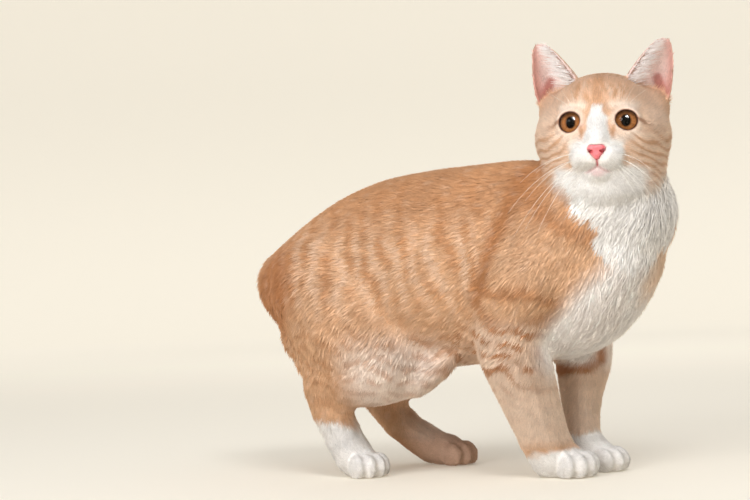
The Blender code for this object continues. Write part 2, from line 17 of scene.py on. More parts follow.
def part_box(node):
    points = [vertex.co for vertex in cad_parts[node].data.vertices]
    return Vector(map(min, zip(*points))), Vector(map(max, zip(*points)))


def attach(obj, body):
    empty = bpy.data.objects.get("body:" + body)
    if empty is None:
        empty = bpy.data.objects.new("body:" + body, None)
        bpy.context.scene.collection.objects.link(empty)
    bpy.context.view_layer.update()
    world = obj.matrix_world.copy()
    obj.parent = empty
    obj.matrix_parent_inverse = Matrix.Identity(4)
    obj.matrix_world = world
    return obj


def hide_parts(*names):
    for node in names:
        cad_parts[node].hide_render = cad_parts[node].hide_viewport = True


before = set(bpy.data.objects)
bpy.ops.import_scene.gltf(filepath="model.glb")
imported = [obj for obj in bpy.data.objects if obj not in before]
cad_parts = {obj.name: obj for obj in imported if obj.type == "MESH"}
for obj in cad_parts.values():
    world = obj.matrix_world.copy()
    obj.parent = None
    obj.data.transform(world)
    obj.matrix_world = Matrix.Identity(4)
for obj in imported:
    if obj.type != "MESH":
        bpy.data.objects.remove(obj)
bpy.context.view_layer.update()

SIDES = {"right": -1, "left": 1}  # the cat's left is +Y
LIMBS = ("upper_arm", "forearm", "fore_paw", "thigh", "metatarsus", "hind_paw")
EARS = ("ear_left", "ear_right")
HEAD_NODES = ("head", *EARS, "nose", "eye_left", "eye_right")
FLESH = ["head", "neck", "torso", "tail_stub", *EARS]
FLESH += [f"{limb}_{side}" for limb in LIMBS for side in SIDES]

SKIN_VOXEL = 0.0009
SKIN_TRIANGLES = 185000
GUIDE_TRIANGLES = 6000  # of the light copy of the skin that is unwrapped
OVERLAP = 0.00035  # how far each piece of flesh is grown so that the cuts between them close
LOWEST_SKIN, LOWEST_TUFT = 0.0006, 0.0003  # above the floor
UV_NAME = "OFBake"
TUFT_PATCH = 0.003  # size of a tuft's patch on the unwrap
COAT_PIECE = 190000  # triangles, at most, in one piece of the coat
COAT_SHARE = 1.0
EAR_HAIRS = 260  # for each ear


# ---- measures taken from the frame


def middle(node):
    """The middle of a node's box."""
    low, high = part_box(node)
    return (np.array(low) + np.array(high)) / 2


EYE = {side: middle(f"eye_{side}") for side in SIDES}
PAW = {f"{paw}_{side}": middle(f"{paw}_{side}") for paw in ("fore_paw", "hind_paw") for side in SIDES}
EYE_FLAT = 1.08  # how much wider than high the opening between the lids is
EYE_FORWARD = 0.0252  # of the eyes, ahead of the middle of the skull
EYE_OUT, EYE_UP = math.radians(13), math.radians(4)  # how far the eyes look aside and up from straight ahead

head_left = (EYE["left"] - EYE["right"]) / np.linalg.norm(EYE["left"] - EYE["right"])
head_forward = np.cross(head_left, (0, 0, 1))
head_forward /= np.linalg.norm(head_forward)
head_up = np.cross(head_forward, head_left)
head_centre = (EYE["left"] + EYE["right"]) / 2 - head_forward * EYE_FORWARD
HEAD = np.array([head_forward, head_left, head_up])


def to_head(points):
    """Points in the head's own frame."""
    return (np.asarray(points) - head_centre) @ HEAD.T * 1000


def from_head(points):
    """Back from the head's frame to the model."""
    return np.asarray(points, float) / 1000 @ HEAD + head_centre


def eye_axis(side):
    """The way an eye looks, in the head's frame."""
    flat = math.cos(EYE_UP)
    return np.array([flat * math.cos(EYE_OUT), SIDES[side] * flat * math.sin(EYE_OUT), math.sin(EYE_UP)])


def from_eye(local, side):
    """Places in the head's frame, as a distance along an eye's axis and the offset from that axis."""
    axis = eye_axis(side)
    off = local - to_head(EYE[side])
    along = off @ axis
    return along, off - along[:, None] * axis


# ---- small tools


def unit(rows):
    """Rows scaled to length 1."""
    return rows / np.maximum(np.linalg.norm(rows, axis=-1, keepdims=True), 1e-12)


def ramp(value, low, high):
    """0 below low, 1 above high, and smooth between them; low may be the larger."""
    t = np.clip((np.asarray(value, float) - low) / (high - low), 0, 1)
    return t * t * (3 - 2 * t)


def toward(base, value, share):
    """Base moved towards a value by a share."""
    return base * (1 - share) + value * share


def settled(base, steps):
    """A base moved in turn towards each step's value by that step's share."""
    for value, share in steps:
        base = toward(base, value, share)
    return base


def firm(share, gain):
    """A share made stronger and kept below 1."""
    return np.clip(share * gain, 0, 1)


def waves(points, size, seed):
    """Smooth noise from -1 to 1 whose features are about this size, in metres."""
    count = 14
    dice = np.random.default_rng(seed)
    ways = unit(dice.normal(size=(count, 3)))
    pace = 2 * math.pi / (size * dice.uniform(0.8, 2.2, count))
    start = dice.uniform(0, 2 * math.pi, count)
    return np.sin(points @ (ways * pace[:, None]).T + start).sum(1) / math.sqrt(count / 2) / 1.6


def stripes(place, pitch, start=0.0):
    """0 to 1 and back in every pitch."""
    return 0.5 + 0.5 * np.sin(2 * math.pi * place / pitch + start)


def blob(points, centre, radii):
    """1 at the centre, falling smoothly to 0 at the radii."""
    reach = np.linalg.norm((points - np.array(centre)) / np.array(radii), axis=1)
    return ramp(reach, 1.0, 0.0)


def segment_gap(points, a, b):
    """Distance of points from the segment between a and b."""
    t = np.clip((points - a) @ (b - a) / max(1e-12, (b - a) @ (b - a)), 0, 1)
    return np.linalg.norm(points - a - t[:, None] * (b - a), axis=1)


def stroke(points, line, width):
    """1 on a line of points, falling smoothly to 0 at this distance from it."""
    line = np.asarray(line, float)
    nearest = np.minimum.reduce([segment_gap(points, a, b) for a, b in zip(line, line[1:])])
    return ramp(nearest, width, 0.0)


def inside(flat, outline):
    """Distance inside an outline, negative outside it."""
    outline = np.asarray(outline, float)
    nearest, odd = np.full(len(flat), np.inf), np.zeros(len(flat), bool)
    for a, b in zip(outline, np.roll(outline, -1, axis=0)):
        nearest = np.minimum(nearest, segment_gap(flat, a, b))
        crosses = (a[1] > flat[:, 1]) != (b[1] > flat[:, 1])
        slope = (b[0] - a[0]) / (b[1] - a[1]) if b[1] != a[1] else 0.0
        odd ^= crosses & (flat[:, 0] < a[0] + (flat[:, 1] - a[1]) * slope)
    return np.where(odd, nearest, -nearest)


def linear(*colour):
    """An sRGB colour of 0 to 255 as linear numbers."""
    c = np.asarray(colour, float) / 255
    return np.where(c <= 0.04045, c / 12.92, ((c + 0.055) / 1.055) ** 2.4)


def layered(base, count, layers):
    """Rows of a base colour, moved in turn towards each layer's colour by that layer's share of each row."""
    steps = ((colour, firm(share, 1)[:, None]) for colour, share in layers)
    return settled(np.repeat(base[None], count, 0), steps)


def new_object(name, data):
    """An object in the scene."""
    obj = bpy.data.objects.new(name, data)
    bpy.context.scene.collection.objects.link(obj)
    return obj


def ring_faces(rings, spokes, first=0):
    """Triangles between rings of points, the first of which begins at this place."""
    faces = []
    for a in range(first, first + (rings - 1) * spokes, spokes):
        for k in range(spokes):
            j, b = (k + 1) % spokes, a + spokes
            faces += [(a + k, a + j, b + j), (a + k, b + j, b + k)]
    return faces


def object_of(name, points, faces):
    """An object of rows of points and faces."""
    mesh = bpy.data.meshes.new(name)
    points = np.ascontiguousarray(points, np.float32)
    faces = np.ascontiguousarray(faces, np.int32)
    mesh.vertices.add(len(points))
    mesh.vertices.foreach_set("co", points.ravel())
    mesh.loops.add(faces.size)
    mesh.loops.foreach_set("vertex_index", faces.ravel())
    mesh.polygons.add(len(faces))
    mesh.polygons.foreach_set("loop_start", np.arange(0, faces.size, faces.shape[1], dtype=np.int32))
    mesh.polygons.foreach_set("use_smooth", np.full(len(faces), True))
    mesh.update(calc_edges=True)
    mesh.validate()
    return new_object(name, mesh)


def mesh_arrays(obj):
    """An object's points and triangles."""
    mesh = obj.data
    mesh.calc_loop_triangles()
    points = np.empty(len(mesh.vertices) * 3, np.float32)
    mesh.vertices.foreach_get("co", points)
    triangles = np.empty(len(mesh.loop_triangles) * 3, np.int32)
    mesh.loop_triangles.foreach_get("vertices", triangles)
    return points.reshape(-1, 3).astype(float), triangles.reshape(-1, 3)


def modified(obj, kind, **settings):
    """Puts a modifier on an object and makes the evaluated mesh the object's own."""
    modifier = obj.modifiers.new(kind.lower(), kind)
    for name, value in settings.items():
        setattr(modifier, name, value)
    bpy.context.view_layer.update()
    graph = bpy.context.evaluated_depsgraph_get()
    made = bpy.data.meshes.new_from_object(obj.evaluated_get(graph))
    obj.modifiers.clear()
    old = obj.data
    obj.data = made
    bpy.data.meshes.remove(old)


def normals_of(points, triangles):
    """Normals of the points, from the triangles round them."""
    a, b, c = (points[triangles[:, k]] for k in range(3))
    faces = np.cross(b - a, c - a)
    total = np.zeros_like(points)
    for k in range(3):
        for axis in range(3):
            total[:, axis] += np.bincount(triangles[:, k], faces[:, axis], len(points))
    return unit(total)


def neighbours_of(triangles, count):
    """Both ends of every edge, each way, and how many edges each point has."""
    ends = np.vstack([triangles[:, (0, 1)], triangles[:, (1, 2)], triangles[:, (2, 0)]])
    ends = np.unique(np.sort(ends, axis=1), axis=0)
    ends = np.vstack([ends, ends[:, ::-1]])
    return ends, np.bincount(ends[:, 0], minlength=count)


def around(rows, ends, degree):
    """The mean over each point's neighbours."""
    if rows.ndim == 2:
        return np.stack([around(rows[:, axis], ends, degree) for axis in range(3)], 1)
    return np.bincount(ends[:, 0], rows[ends[:, 1]], len(rows)) / np.maximum(degree, 1)


def faded(share, ends, degree, rounds):
    """A share spread over what is next to it."""
    for _ in range(rounds):
        share = 0.5 * share + 0.5 * around(share, ends, degree)
    return share


def smoothed(points, ends, degree, weight, rounds):
    """Evens out the surface without shrinking it, more where the weight is larger."""
    for step in range(rounds):
        pull = 0.5 if step % 2 == 0 else -0.51
        points = points + (around(points, ends, degree) - points) * pull * weight[:, None]
    return points


# ---- places on the skin

NOSE_SEAT = (51, 0, -22)


def node_tree():
    """A tree of every node's triangles, and which node each belongs to."""
    points, triangles, owners, base = [], [], [], 0
    for name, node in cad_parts.items():
        rows, faces = mesh_arrays(node)
        rows = rows @ np.array(node.matrix_world.to_3x3()).T + np.array(node.matrix_world.translation)
        points.append(rows)
        triangles.append(faces + base)
        owners += [name] * len(faces)
        base += len(rows)
    tree = BVHTree.FromPolygons(np.vstack(points).tolist(), np.vstack(triangles).tolist())
    return tree, np.array(owners)


NODE_TREE, NODE_OWNERS = node_tree()


class Spots:
    """Places on the skin with their normals, and what the coat there depends on."""

    def __init__(self, points, normals, head, ear, fold):
        self.points, self.normals = points, normals
        self.head, self.ear, self.fold = head, ear, fold
        self.local = to_head(points)
        self.front = np.stack([np.abs(self.local[:, 1]), self.local[:, 2]], 1)  # away from the middle, and up
        self.paw = ramp(points[:, 2], 0.034, 0.020)
        self.leg = ramp(points[:, 2], 0.105, 0.070)
        self.nose = np.linalg.norm(self.local - NOSE_SEAT, axis=1)
        self.eye = np.full(len(points), 99.0)
        for side in SIDES:
            along, off = from_eye(self.local, side)
            away = np.linalg.norm(off * (1, 1, EYE_FLAT), axis=1)
            self.eye = np.where((along > -2) & (away < self.eye), away, self.eye)

    def moved(self, points, normals):
        """The same places after their points have moved."""
        return Spots(points, normals, self.head, self.ear, self.fold)

    def within(self, triangles, shares):
        """Places within triangles, by the share of each corner."""

        def mean(rows):
            if rows.ndim == 2:
                return (rows[triangles] * shares[:, :, None]).sum(1)
            return (rows[triangles] * shares).sum(1)

        parts = [mean(rows) for rows in (self.head, self.ear, self.fold)]
        return Spots(mean(self.points), unit(mean(self.normals)), *parts)


def skin_spots(points, triangles, rounds=(40, 5)):
    """The points of a skin, with the head and the ears fading into what is next to them."""
    ends, degree = neighbours_of(triangles, len(points))
    owner = NODE_OWNERS[[NODE_TREE.find_nearest(point)[2] for point in points.tolist()]]
    head, ear = (
        faded(np.isin(owner, names).astype(float), ends, degree, count)
        for names, count in zip((HEAD_NODES, EARS), rounds)
    )
    normals = normals_of(points, triangles)
    lengths = np.linalg.norm(points[ends[:, 0]] - points[ends[:, 1]], axis=1)
    reach = np.bincount(ends[:, 0], lengths, len(points)) / np.maximum(degree, 1)
    rise = ((around(points, ends, degree) - points) * normals).sum(1)
    hollow = faded(rise / np.maximum(reach, 1e-6) ** 2, ends, degree, 3)
    # fold is 1 in hollows and creases, where coat_colour paints shade
    return Spots(points, normals, head, ear, ramp(hollow, 60, 420))


# ---- how deep the coat is, and how it lies


def coat_depth(spots):
    """How far the skin lies inside the solids, which is the coat's depth, in metres."""
    x, _, z = spots.points.T
    depth = np.full(len(x), 0.0030)
    depth += 0.0014 * ramp(x, 0.095, 0.135) * ramp(z, 0.09, 0.12)
    depth += 0.0010 * ramp(z, 0.11, 0.09) * ramp(x, 0.06, 0.04)
    cheek = ramp(spots.front[:, 0], 22, 45) * ramp(spots.local[:, 0], 40, 10)
    steps = [(0.0019, spots.leg), (0.0006, spots.paw), (0.0009 + 0.0012 * cheek, spots.head)]
    steps += [(0.0003, spots.ear), (0.0002, ramp(spots.eye, 15, 9.5)), (0.0003, ramp(spots.nose, 17, 9))]
    return settled(depth, steps)


# Where the coat points: places, in millimetres, and directions, mirrored to the other side
LIE = (
    ((-110, 0, 205), (-1, 0, -0.25)), ((-20, 0, 240), (-1, 0, 0.0)), ((70, 0, 245), (-1, 0, -0.1)),
    ((112, 20, 240), (-0.9, 0.1, -0.6)), ((-160, 0, 165), (-0.7, 0, -1)), ((-60, 60, 180), (-1, 0, -0.25)),
    ((0, 62, 165), (-1, 0, -0.30)), ((-10, 60, 125), (-1, 0, -0.75)), ((-20, 40, 95), (-0.6, 0, -1)),
    ((30, 60, 140), (-1, 0, -0.55)), ((30, 50, 105), (-0.9, 0, -0.9)), ((85, 50, 190), (-0.8, 0.1, -0.6)),
    ((72, 48, 140), (-0.8, 0, -0.8)), ((75, 40, 100), (-0.7, 0, -0.8)), ((80, 33, 60), (-0.45, 0, -1)),
    ((105, 20, 60), (0.1, 0, -1)), ((-110, 48, 150), (-0.9, 0, -0.9)), ((-80, 55, 110), (-0.5, 0, -1)),
    ((-45, 55, 95), (-0.6, 0, -1)), ((-100, 48, 80), (-0.3, 0, -1)), ((-88, 48, 45), (0.1, 0, -1)),
    ((-60, 45, 40), (0.1, 0, -1)), ((165, 0, 170), (-0.2, 0, -1)), ((150, 30, 185), (-0.35, 0.3, -1)),
    ((140, 10, 120), (-0.5, 0, -1)), ((118, 42, 160), (-0.5, 0.15, -1)), ((135, 45, 215), (-0.6, 0.3, -0.9)),
    ((60, 0, 85), (-1, 0, -0.15)), ((-20, 0, 80), (-1, 0, 0)), ((-70, 15, 85), (-0.9, 0, -0.5)),
)
LIE_REACH = 0.026
FACE_MIDDLE = (50, 0, -18)  # from which the coat of the face points outwards


def lie_of(spots):
    """The direction in which the coat lies at each place, along the skin."""
    total = np.zeros_like(spots.points)
    for place, way in LIE:
        for s in (1, -1) if place[1] or way[1] else (1,):
            gap = ((spots.points - np.array((place[0], place[1] * s, place[2])) / 1000) ** 2).sum(1)
            way_here = unit(np.array((way[0], way[1] * s, way[2]), float))
            total += (np.exp(-gap / (2 * LIE_REACH**2)) + 1e-9)[:, None] * way_here
    way = unit(total)
    for paw, place in PAW.items():
        near = ramp(np.linalg.norm(spots.points[:, :2] - place[:2], axis=1), 0.035, 0.022) * spots.paw
        ahead = np.array((1.0, -0.25 if "right" in paw else 0.0, -0.45))
        way = toward(way, unit(ahead), near[:, None])
    p = spots.local
    out = unit(p - FACE_MIDDLE)
    out[:, 2] += 0.15
    up = np.stack([np.full(len(p), -0.1), np.sign(p[:, 1]) * 0.35, np.ones(len(p))], 1)
    out = toward(out, up, spots.ear[:, None])
    for side in SIDES:
        along, away = from_eye(p, side)
        near = ramp(np.linalg.norm(away, axis=1), 19, 10) * (along > -2)
        out += unit(away) * (near * 1.6)[:, None]
    head = spots.head[:, None]
    way = way * (1 - head) + unit(out) @ HEAD * head
    return unit(way - (way * spots.normals).sum(1, keepdims=True) * spots.normals)


# ---- markings

WHITE = linear(244, 239, 234)
CREAM = linear(240, 214, 192)
GINGER = linear(219, 173, 135)
RUST = linear(192, 135, 90)
BACK = linear(202, 149, 107)
HAUNCH = linear(178, 118, 75)
GROIN = linear(243, 223, 208)
SHADE = linear(176, 128, 96)
DARK_BAND = linear(184, 125, 80)
ARM_BAR = linear(180, 120, 76)
TOP_BAR = linear(172, 108, 60)
LOW_CHEST_PALE_AND_LIT, FAR_CHEST = linear(249, 241, 235), linear(242, 227, 216)
BIB_FRINGE = linear(236, 206, 180)
# Painted shade, laid on hollows and creases such as between the toes
CREASE_SHADE = linear(140, 104, 90)
FACE = linear(230, 187, 154)
TEMPLE_PALE_AND_LIT, CHEEK_TOP = linear(240, 204, 176), linear(240, 210, 186)
BROW, EYE_RING = linear(242, 222, 204), linear(242, 222, 206)
CHEEK_LINE = linear(150, 98, 68)
LIP, LOWER_LIP, LIP_GROOVE = linear(206, 150, 146), linear(222, 176, 170), linear(196, 96, 104)
EYE_CORNER = linear(200, 130, 118)
LID, LID_EDGE = linear(52, 30, 22), linear(150, 104, 80)
EAR_PINK, EAR_HOLLOW_SHADE = linear(242, 214, 206), linear(188, 118, 104)
EAR_FOLD_SHADE, EAR_RIM = linear(170, 98, 86), linear(222, 160, 146)

# The edge of the bib: round the chest from straight ahead, against height, both in millimetres
CHEST_AXIS = (0.110, 0.0)
CHEST_ARC = 1.05  # millimetres to a degree
BIB = (
    (-97, 240), (-91, 217), (-86, 206), (-74, 193), (-62, 187), (-61, 171), (-58, 165), (-44, 161),
    (-36, 155), (-22, 154), (-4, 166), (10, 178), (15, 188), (18, 203), (20, 225), (20, 240),
)
# Darker lines of both sides of the body, in millimetres: forward and up
SHOULDER_LINE = ((73, 236), (71, 220), (67, 201), (59, 187), (55, 172), (52, 157), (44, 142))
NECK_LINE = ((71, 228), (84, 212), (96, 201), (112, 192), (130, 182))
ARM_LINES = (
    ((41, 135), (62, 121), (78, 117), (99, 123)),
    ((53, 146), (69, 141), (90, 144), (104, 135)),
    ((56, 106), (66, 102), (78, 98), (92, 104)),
    ((62, 92), (78, 87), (96, 84)),
)
FAR_BAR = ((75, 79), (89, 82), (97, 81), (110, 92))
# Pale bands low on the chest: forward, left and up. The near one is also painted brighter than the white, as
# painted light where the low chest lies in shade
NEAR_PALE = ((156, -22, 152), (134, -36, 126), (104, -34, 98))
FAR_PALE = ((150, 24, 140), (132, 36, 118), (112, 34, 96))
# Lines on the head: away from its middle, and up
BROW_LINE = ((11, 13), (18, 14), (27, 12))
UNDER_EYE = ((12, -11), (21, -13), (31, -8))
BEHIND_EYE = ((29.0, 2), (33, 0), (38, -4), (43, -9))
TEAR_LINE = ((12.5, -4), (11.5, -9), (12.5, -14))
LIPS = ((0, -29), (0, -33.4), (3.5, -35.6), (7.5, -37.4), (11.5, -37.6), (16, -35.5))
MOUTH = ((0, -30), (0, -33.4), (3.5, -35.4), (7.5, -37.0), (11.0, -37.3))
EAR_FOLD = ((41, 35), (44, 25), (44, 15))


def round_chest(points):
    """Round the chest and up, in millimetres."""
    turn = np.degrees(np.arctan2(points[:, 1] - CHEST_AXIS[1], points[:, 0] - CHEST_AXIS[0]))
    return np.stack([turn * CHEST_ARC, points[:, 2] * 1000], 1)


def body_colour(spots):
    """The markings of the body, neck and legs."""
    points = spots.points
    x, y, z = points.T * 1000
    side_view = np.stack([x, z], 1)
    wavy_view = np.stack([x, z + waves(points, 0.02, 13) * 2.5], 1)
    far, furred, out = ramp(y, 0, 9), 1 - spots.paw, ramp(np.abs(y), 12, 30)
    pale = ramp(z, 122, 90) * (0.35 + 0.65 * ramp(x, 20, -15)) * ramp(x, 85, 55) * ramp(x, -85, -50)
    band = stripes(x + 0.28 * (z - 160) + waves(points, 0.030, 11) * 4.0, 17.0)
    broken = ramp(waves(points * (1, 1, 0.6), 0.014, 12), -0.9, 0.4)
    flank = ramp(x, 62, 40) * ramp(z, 110, 158) * ramp(x, -175, -150)
    upper = 0.55 + 0.45 * ramp(z, 225, 190)
    haunch = blob(side_view, (-140, 150), (46, 60))
    limb = ramp(z, 128, 112) * furred
    bars = ramp(stripes(z + 0.45 * x + waves(points, 0.025, 15) * 6, 13), 0.45, 0.95)
    bars = bars * ramp(waves(points, 0.011, 17), -1.1, 0.2)
    bars = bars * (0.45 + 0.55 * ramp(z, 55, 85)) * (0.5 + 0.5 * ramp(x, 0, 30)) * (1 - 0.6 * far)
    hind_shade = 0.10 + 0.6 * ramp(x, 20, 0) * ramp(z, 32, 16)
    top_bar = firm(stroke(side_view, FAR_BAR, 8), 1.6) * far * ramp(y, 34, 24)
    fringe = ramp(round_chest(points)[:, 0], -26, -8) * ramp(x, 85, 105)
    fringe = fringe * ramp(z, 120, 140) * ramp(z, 236, 215)
    rump = blob(np.stack([x, y, z], 1), (-180, 0, 142), (21, 30, 30))
    layers = [
        (BACK, ramp(z, 170, 222)),
        (GROIN, pale * 0.9),
        (RUST, ramp(band, 0.45, 1.0) * broken * flank * upper * 0.85),
        (CREAM, ramp(band, 0.45, 0.0) * flank * ramp(z, 215, 175) * 0.3),
        (HAUNCH, firm(haunch, 1.7) * 0.9),
        (DARK_BAND, stroke(wavy_view, SHOULDER_LINE, 13) * 0.95 * out),
        (DARK_BAND, stroke(wavy_view, NECK_LINE, 13) * 0.7 * out),
        (DARK_BAND, blob(side_view, (84, 232), (34, 26)) * 0.6),
        *((DARK_BAND, stroke(wavy_view, line, 7) * 0.75 * out) for line in ARM_LINES),
        (RUST, ramp(waves(points, 0.0055, 14), 0.1, 1.2) * 0.30 * (1 - pale)),
        (CREAM, ramp(waves(points, 0.006, 16), 0.3, 1.3) * 0.16),
        (CREAM, limb * ramp(x, 20, 50) * 0.62),
        (ARM_BAR, bars * limb),
        # Cream low on the forelegs: partly their own colour, partly painted light, growing towards the bottom
        # where less light reaches
        (CREAM, ramp(z, 95, 50) * ramp(x, 0, 30) * furred * 0.75),
        # Painted shade on the far side's lower body and legs, strongest low on the far hind leg
        (SHADE, ramp(z, 108, 88) * far * hind_shade),
        # Pale fur, painted brighter than the white as painted light in the shade under the chest
        (LOW_CHEST_PALE_AND_LIT, firm(stroke(points * 1000, NEAR_PALE, 36), 1.9) * 0.95),
        (FAR_CHEST, firm(stroke(points * 1000, FAR_PALE, 28), 1.6) * 0.85),
        (TOP_BAR, top_bar * 0.85),
        (BIB_FRINGE, fringe * 0.75),
        (WHITE, firm(rump, 1.7) * 0.7),
        (WHITE, white_of(points)),
    ]
    return layered(GINGER, len(points), layers)


def white_of(points):
    """1 where the body's coat is white: bib and three paws."""
    x, y, z = points.T * 1000
    edge = waves(points, 0.012, 21) * 3.0 + waves(points, 0.005, 22) * 1.6
    bib = ramp(inside(round_chest(points), BIB) + edge, -2.5, 2.5)
    between = ramp(np.abs(y) + edge * 0.6, 24, 12) * ramp(x, 70, 90) * ramp(z, 78, 90) * ramp(z, 150, 125)
    top = np.where(y < 4, 19 + 0.22 * (x - 85), 30 + 0.1 * (x - 95))
    fore = ramp(z + edge * 0.5, top + 3, top - 3) * ramp(x, 40, 60)
    hind = ramp(z + edge * 0.7 + (x + 80) * 0.25, 44, 37) * ramp(x, 20, 0) * ramp(y, 5, -5)
    return np.clip(np.maximum.reduce([bib, between * 0.9, fore, hind]), 0, 1)


def head_colour(spots):
    """The markings of the head, in its own frame."""
    points, p, front = spots.points, spots.local, spots.front
    x, y, z = p.T
    side = front[:, 0]
    face = ramp(x, 0, 12)
    temple = ramp(side, 18, 32) * ramp(z, 2, 14) * ramp(z, 44, 32) * ramp(x, -14, 2)
    streak = stripes(side + waves(points, 0.016, 33) * 2.4 + y * 0.12, 6.2, 0.8)
    streak = 0.5 + (streak - 0.5) * ramp(waves(points, 0.012, 34), -0.9, 0.6)
    crown = ramp(z, 10, 18) * ramp(side, 26, 14)
    behind_eye = firm(stroke(front, BEHIND_EYE, 2.4), 1.3) * ramp(side, 44, 30) * ramp(x, -4, 8)
    swirl = stripes(z + 0.45 * side + waves(points, 0.018, 31) * 2.0, 6.4)
    cheek = ramp(side, 19, 30) * ramp(z, -3, -12)
    edge = waves(points, 0.010, 32) * 1.2
    half = 3.6 + 3.6 * ramp(z, 11, 2) + 3.0 * ramp(z, -4, -16)
    blaze = ramp(side + edge, half + 1.6, half - 1.6) * ramp(z, 15, 10) * ramp(x, 15, 25)
    muzzle = ramp(side + edge * 1.5, 24, 18) * ramp(z + side * 0.25, -7, -13) * ramp(x, 4, 14)
    chin = ramp(z + edge, -30, -37) * ramp(side + edge, 40, 30)
    lower = firm(blob(front, (0, -38.5), (8.5, 4.2)), 1.5) * ramp(x, 30, 36)
    corner = np.maximum.reduce([blob(p, (35, 11.0 * s, -3.0), (7, 3.6, 3.6)) for s in SIDES.values()])
    layers = [
        # Peach temples, painted lighter than their own colour as painted light on sides of the head that get
        # little light
        (TEMPLE_PALE_AND_LIT, temple * 0.8),
        (CHEEK_TOP, ramp(side, 15, 27) * ramp(z, 18, 2) * ramp(x, -12, 6) * 0.75),
        (RUST, ramp(side, 6, 2) * ramp(z, 10, 15) * 0.5),
        (RUST, ramp(streak, 0.5, 1.0) * crown * 0.5),
        (CREAM, ramp(streak, 0.4, 0.0) * crown * ramp(z, 40, 22) * 0.5),
        (RUST, ramp(z, 22, 36) * ramp(side, 32, 20) * 0.28),
        (BROW, stroke(front, BROW_LINE, 6) * face * 0.85),
        (EYE_RING, ramp(spots.eye, 14.5, 10.5) * ramp(x, 5, 15) * 0.6),
        (EYE_RING, stroke(front, UNDER_EYE, 5.5) * face * 0.85),
        (CHEEK_LINE, behind_eye * 0.8),
        (RUST, stroke(front, TEAR_LINE, 2.6) * ramp(x, 20, 30) * 0.7),
        (RUST, (0.12 + 0.88 * ramp(swirl, 0.45, 1.0)) * cheek * 0.6),
        (CREAM, ramp(swirl, 0.4, 0.0) * cheek * 0.45),
        (WHITE, np.maximum.reduce([blaze, muzzle, chin])),
        (LIP, stroke(front, LIPS, 2.2) * ramp(x, 28, 36) * ramp(side, 12, 5) * 0.6),
        (LOWER_LIP, lower * 0.55),
        (LIP_GROOVE, stroke(front, ((0, -28), (0, -33)), 1.3) * ramp(x, 38, 44)),
        (EYE_CORNER, corner * 0.85),
        (LID_EDGE, ramp(spots.eye, 9.6, 8.8) * ramp(x, 16, 22)),
        (LID, ramp(spots.eye, 8.75, 8.45) * ramp(x, 16, 22)),
    ]
    return layered(FACE, len(points), layers)


def ear_colour(spots):
    """Ginger backs and pink insides."""
    side, z = spots.front.T
    layers = (
        # Painted shade, darker low in the ear's cup
        (EAR_HOLLOW_SHADE, ramp(z, 44, 22) * ramp(side, 34, 44) * 0.9),
        # Painted shade along the fold inside the ear
        (EAR_FOLD_SHADE, firm(stroke(spots.front, EAR_FOLD, 6), 1.4) * 0.8),
        (EAR_RIM, ramp(side, 45, 53) * 0.8),
    )
    return toward(GINGER[None], layered(EAR_PINK, len(z), layers), ear_inside(spots)[:, None])


def ear_inside(spots):
    """1 on the inner face of the ears."""
    return ramp(spots.normals @ head_forward, 0.0, 0.35) * spots.ear


def coat_colour(spots):
    """The colour of skin and coat at each place, as linear red, green and blue."""
    colour = toward(body_colour(spots), head_colour(spots), spots.head[:, None])
    colour = toward(colour, ear_colour(spots), spots.ear[:, None])
    cloud = 1 + 0.05 * waves(spots.points, 0.045, 41) + 0.035 * waves(spots.points, 0.009, 42)
    # Painted shade in hollows and creases: strongest on the paws, none on the ears or at the nose
    share = spots.fold * (0.35 + 0.45 * spots.paw) * (1 - spots.ear) * ramp(spots.nose, 9, 14)
    return np.clip(toward(colour * cloud[:, None], CREASE_SHADE, np.clip(share, 0, 1)[:, None]), 0.004, 0.96)


# ---- the skin


def grown_flesh():
    """Every piece of flesh, each a little larger, in one object."""
    clay = bmesh.new()
    for node in FLESH:
        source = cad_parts[node]
        piece = bmesh.new()
        piece.from_mesh(source.data)
        piece.transform(source.matrix_world)
        bmesh.ops.remove_doubles(piece, verts=piece.verts, dist=1e-6)
        piece.normal_update()
        for vert in piece.verts:
            vert.co += vert.normal * OVERLAP
        made = bpy.data.meshes.new("flesh")
        piece.to_mesh(made)
        piece.free()
        clay.from_mesh(made)
        bpy.data.meshes.remove(made)
    mesh = bpy.data.meshes.new("skin")
    clay.to_mesh(mesh)
    clay.free()
    return new_object("skin", mesh)


def keep_largest(points, triangles):
    """Drops every shell but the largest."""
    label = np.arange(len(points))
    while True:
        low = label[triangles].min(1)
        new = label.copy()
        for k in range(3):
            np.minimum.at(new, triangles[:, k], low)
        new = new[new]
        if (new == label).all():
            break
        label = new
    names, counts = np.unique(label, return_counts=True)
    kept = label == names[counts.argmax()]
    place = np.cumsum(kept) - 1
    return points[kept], place[triangles[kept[triangles].all(1)]]


def make_skin():
    """One closed skin, moved in by the coat's depth."""
    obj = grown_flesh()
    modified(obj, "REMESH", mode="VOXEL", voxel_size=SKIN_VOXEL)
    points, triangles = keep_largest(*mesh_arrays(obj))
    bpy.data.objects.remove(obj)
    ends, degree = neighbours_of(triangles, len(points))
    spots = skin_spots(points, triangles)
    fine = np.maximum(spots.paw, spots.head)
    points = smoothed(points, ends, degree, 1 - 0.8 * fine, 40)
    spots = spots.moved(points, normals_of(points, triangles))
    sunk = (coat_depth(spots) + OVERLAP * 0.5) * ramp(spots.nose, 9, 14)
    points = points - spots.normals * sunk[:, None]
    points = smoothed(points, ends, degree, (1 - 0.9 * fine) * (1 - spots.ear), 10)
    points = carved_mouth(points, spots)
    points[:, 2] = np.maximum(points[:, 2], LOWEST_SKIN)
    obj = object_of("skin", points, triangles)
    modified(obj, "DECIMATE", ratio=min(1.0, SKIN_TRIANGLES / len(triangles)))
    obj.data.polygons.foreach_set("use_smooth", np.full(len(obj.data.polygons), True))
    return obj


def carved_mouth(points, spots):
    """Presses the line of the mouth into the skin."""
    depth = stroke(spots.front, MOUTH, 1.5) * ramp(spots.local[:, 0], 22, 30) * 0.0005
    return points - spots.normals * depth[:, None]


